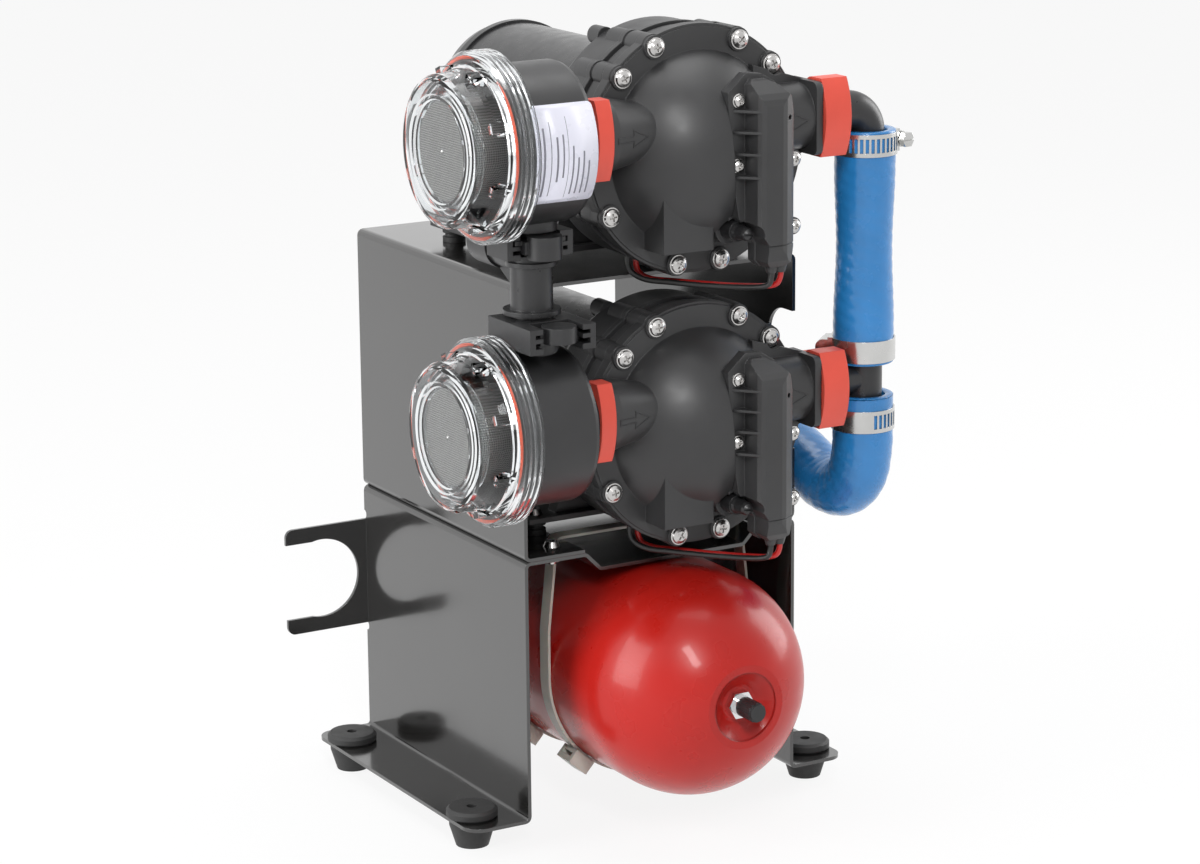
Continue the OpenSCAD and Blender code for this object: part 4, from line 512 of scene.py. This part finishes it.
def wrapped_plate(name, x0, x1, low, high, corner, layer, look):
    """A rounded rectangle that follows the strainer's wall."""
    lift, thick = layer
    outline = []
    for cx, cy, start in ((x1 - corner, high - corner, 0), (x0 + corner, high - corner, 90),
                          (x0 + corner, low + corner, 180), (x1 - corner, low + corner, 270)):
        for step in range(CORNER_STEPS + 1):
            a = math.radians(start + 90 * step / CORNER_STEPS)
            outline.append((cx + corner * math.cos(a), cy + corner * math.sin(a)))
    shape = bmesh.new()
    shape.faces.new([shape.verts.new((x, y, 0)) for x, y in outline])
    for i in range(1, PLATE_ROWS):
        at = low + (high - low) * i / PLATE_ROWS
        bmesh.ops.bisect_plane(shape, geom=shape.verts[:] + shape.edges[:] + shape.faces[:],
                               plane_co=(0, at, 0), plane_no=(0, 1, 0))
    grown = bmesh.ops.extrude_face_region(shape, geom=shape.faces[:])
    for v in grown["geom"]:
        if isinstance(v, bmesh.types.BMVert):
            v.co.z = thick
    # Sorted, because the cuts leave the corners and faces in an order that changes from run to run
    corners = sorted(shape.verts, key=lambda v: tuple(round(c, SORT_DIGITS) for c in v.co))
    for i, v in enumerate(corners):
        v.index = i
    points = [wrapped(v.co.x, v.co.y, STRAINER_R + lift + v.co.z) for v in corners]
    faces = sorted(from_lowest([v.index for v in f.verts]) for f in shape.faces)
    shape.free()
    add_mesh(name, points, faces, "strainer_plastic", look)


def label():
    """A white label with plain grey bars in place of print."""
    wrapped_plate("strainer_label", LABEL_LEFT, LABEL_RIGHT, *LABEL_SPAN, LABEL_CORNER, LABEL_LAYER,
                  "label_white")
    for i, (at, low, high, width) in enumerate(BARS):
        corner = min(width / 2 - BAR_MARGIN, BAR_CORNER)
        wrapped_plate(f"label_bar_{i}", LABEL_LEFT + at, LABEL_LEFT + at + width, low, high, corner,
                      BAR_LAYER, "label_grey")


# Flow arrows on the inlet and outlet bosses

ARROW = [(-20.6, -1.6), (-10.3, -1.6), (-10.3, -5), (0, 0), (-10.3, 5), (-10.3, 1.6), (-20.6, 1.6)]
ARROW_LINE = 0.55
ARROW_LIFT = 0.3
ARROW_TIPS = (-40.8, 55.2)   # along the ports' line, from the pump's middle
ARROW_RISE = -0.5
ARROW_STEPS = 5
BOSS_R = 18
RAY_START = 40               # from the ports' line, in front of the bosses


def inset(outline, width):
    """The outline moved inwards by a width; its corners run anticlockwise."""
    moved = []
    corners = [Vector(c) for c in outline]
    for before, here, after in zip(corners[-1:] + corners[:-1], corners, corners[1:] + corners[:1]):
        n1, n2 = (Vector((-e.y, e.x)).normalized() for e in (here - before, after - here))
        moved.append(here + (n1 + n2) * width / (1 + n1.dot(n2)))
    return moved


def outline_points(corners):
    """Points along the edges of an outline, ARROW_STEPS on each edge."""
    return [(a[0] + (b[0] - a[0]) * i / ARROW_STEPS, a[1] + (b[1] - a[1]) * i / ARROW_STEPS)
            for a, b in zip(corners, corners[1:] + corners[:1]) for i in range(ARROW_STEPS)]


def flow_arrows(level):
    """Raised outlines of arrows on the fronts of both bosses, pointing the way the water runs."""
    name = LEVELS[level]
    cover = frame["nodes"][name + "_head_cover"]
    corners = [cover.matrix_world @ v.co / MM for v in cover.data.vertices]
    skin = BVHTree.FromPolygons(corners, [tuple(f.vertices) for f in cover.data.polygons])
    axis = Vector((LINE_X, PORT_Y, PORT_Z[level]))

    def place(x, around, lift):
        angle = around / BOSS_R
        outward = Vector((0, -math.cos(angle), math.sin(angle)))
        hit = skin.ray_cast(axis + Vector((x, 0, 0)) + outward * RAY_START, -outward)[0]
        return hit + outward * lift

    outer, inner = (outline_points(shape) for shape in (ARROW, inset(ARROW, ARROW_LINE)))
    section = ((outer, -ARROW_LIFT), (outer, ARROW_LIFT), (inner, ARROW_LIFT), (inner, -ARROW_LIFT))
    points, faces = [], []
    for tip in ARROW_TIPS:
        rings = [[place(tip + x, ARROW_RISE + w, lift) for x, w in path] for path, lift in section]
        more, joined = loft(rings, close=True)
        faces += [tuple(i + len(points) for i in face) for face in joined]
        points += more
    add_mesh(name + "_flow_arrows", points, faces, "head_plastic", smooth=False)


# Camera, floor and light

CAMERA_AT = Vector((-0.9637, -1.6992, 0.6920))
CAMERA_TURN = [math.radians(a) for a in (-29.986, 14.142, -0.519)]  # azimuth, elevation and roll
CAMERA_LENS = 107.88
CAMERA_SENSOR = 36
FLOOR_REACH = 30.0
FLOOR_GLOW = 0.88          # share of plain white in the floor where it is seen or mirrored
WORLD_LIGHT = (0.12, 0.9)  # the world's strength as light from the front and from the back
WORLD_FADE = (-0.7, 0.9)   # the directions along y between which it changes
LIT_MIDDLE = (0, -0.05, 0.22)
LAMPS = [  # name, place, size, power in watts, turn in degrees
    ("key_lamp", (-0.7, -1.5, 1.35), (0.26, 0.8), 17, 28),
    ("left_lamp", (-2.0, 0.1, 0.9), (1.2, 1.6), 34, 0),
    ("right_lamp", (1.7, -0.1, 0.8), (0.9, 1.2), 14, 0),
    ("top_lamp", (0.1, 0.1, 1.8), (1.2, 1.2), 11, 0)
]


def make_camera():
    azimuth, elevation, roll = CAMERA_TURN
    back = Vector((math.sin(azimuth) * math.cos(elevation), -math.cos(azimuth) * math.cos(elevation),
                   math.sin(elevation)))
    across = Vector((math.cos(azimuth), math.sin(azimuth), 0))
    above = back.cross(across)
    right = across * math.cos(roll) + above * math.sin(roll)
    up = above * math.cos(roll) - across * math.sin(roll)
    data = bpy.data.cameras.new("camera")
    data.lens = CAMERA_LENS
    data.sensor_width = CAMERA_SENSOR
    made = bpy.data.objects.new("camera", data)
    bpy.context.scene.collection.objects.link(made)
    rows = [(right[i], up[i], back[i], CAMERA_AT[i]) for i in range(3)]
    made.matrix_world = Matrix((*rows, (0, 0, 0, 1)))
    bpy.context.scene.camera = made


def seen_rays(tree):
    """1 for rays that come from the camera, a glossy surface or glass, else 0."""
    path = new_node(tree, "ShaderNodeLightPath")
    total = path.outputs["Is Camera Ray"]
    for name in ("Is Glossy Ray", "Is Transmission Ray"):
        total = combine(tree, "ADD", total, path.outputs[name], use_clamp=True)
    return total


def make_floor():
    """A pale floor that keeps the shadow and is close to white where it is seen."""
    data = bpy.data.meshes.new("floor")
    corners = [(x * FLOOR_REACH, y * FLOOR_REACH, 0) for x, y in ((-1, -1), (1, -1), (1, 1), (-1, 1))]
    data.from_pydata(corners, [], [(0, 1, 2, 3)])
    made = bpy.data.objects.new("floor", data)
    bpy.context.scene.collection.objects.link(made)
    paint = bpy.data.materials.new("pale_floor")
    paint.use_nodes = True
    tree = paint.node_tree
    main = tree.nodes["Principled BSDF"]
    set_inputs(main, {"Base Color": (0.8, 0.8, 0.8, 1), "Roughness": 0.7})
    glow = new_node(tree, "ShaderNodeEmission")
    set_inputs(glow, {"Color": (1, 1, 1, 1), "Strength": 1.0})
    mixed = new_node(tree, "ShaderNodeMixShader")
    sources = (combine(tree, "MULTIPLY", seen_rays(tree), FLOOR_GLOW), main.outputs[0], glow.outputs[0])
    for i, source in enumerate(sources):
        tree.links.new(source, mixed.inputs[i])
    tree.links.new(mixed.outputs[0], tree.nodes["Material Output"].inputs["Surface"])
    data.materials.append(paint)


def make_world():
    """White where it is seen or mirrored; as light it is softer, and darker towards the front."""
    world = bpy.data.worlds.new("studio")
    bpy.context.scene.world = world
    world.use_nodes = True
    tree = world.node_tree
    back = tree.nodes["Background"]
    set_inputs(back, {"Color": (1, 1, 1, 1)})
    parts = new_node(tree, "ShaderNodeSeparateXYZ")
    tree.links.new(new_node(tree, "ShaderNodeTexCoord").outputs["Generated"], parts.inputs[0])
    shade = spread(tree, parts.outputs["Y"], *WORLD_LIGHT, *WORLD_FADE)
    strength = new_node(tree, "ShaderNodeMix", data_type="FLOAT")
    factor, as_light, as_seen = [s for s in strength.inputs if s.type == "VALUE"]
    tree.links.new(seen_rays(tree), factor)
    tree.links.new(shade, as_light)
    as_seen.default_value = 1.0
    result = next(s for s in strength.outputs if s.type == "VALUE")
    tree.links.new(result, back.inputs["Strength"])


def soft_lamp(name, place, size, power, turn):
    """An area lamp that faces the pumps, turned about its own beam."""
    data = bpy.data.lights.new(name, "AREA")
    data.shape = "RECTANGLE"
    data.size, data.size_y = size
    data.energy = power
    made = bpy.data.objects.new(name, data)
    bpy.context.scene.collection.objects.link(made)
    made.location = place
    made.rotation_mode = "QUATERNION"
    facing = (Vector(LIT_MIDDLE) - Vector(place)).to_track_quat("-Z", "Y")
    made.rotation_quaternion = facing @ Quaternion((0, 0, 1), math.radians(turn))


bpy.context.scene.view_settings.view_transform = "Standard"
make_camera()
paint_nodes()
upper_hose()
lower_hose()
leads("red_lead_pair", RED_ROUTE, "lead_red", "red_leads")
leads("black_lead_pair", BLACK_ROUTE, "lead_black", "black_leads")
label()
for level in range(len(LEVELS)):
    flow_arrows(level)
    basket_rivet(level)
make_floor()
make_world()
for lamp in LAMPS:
    soft_lamp(*lamp)
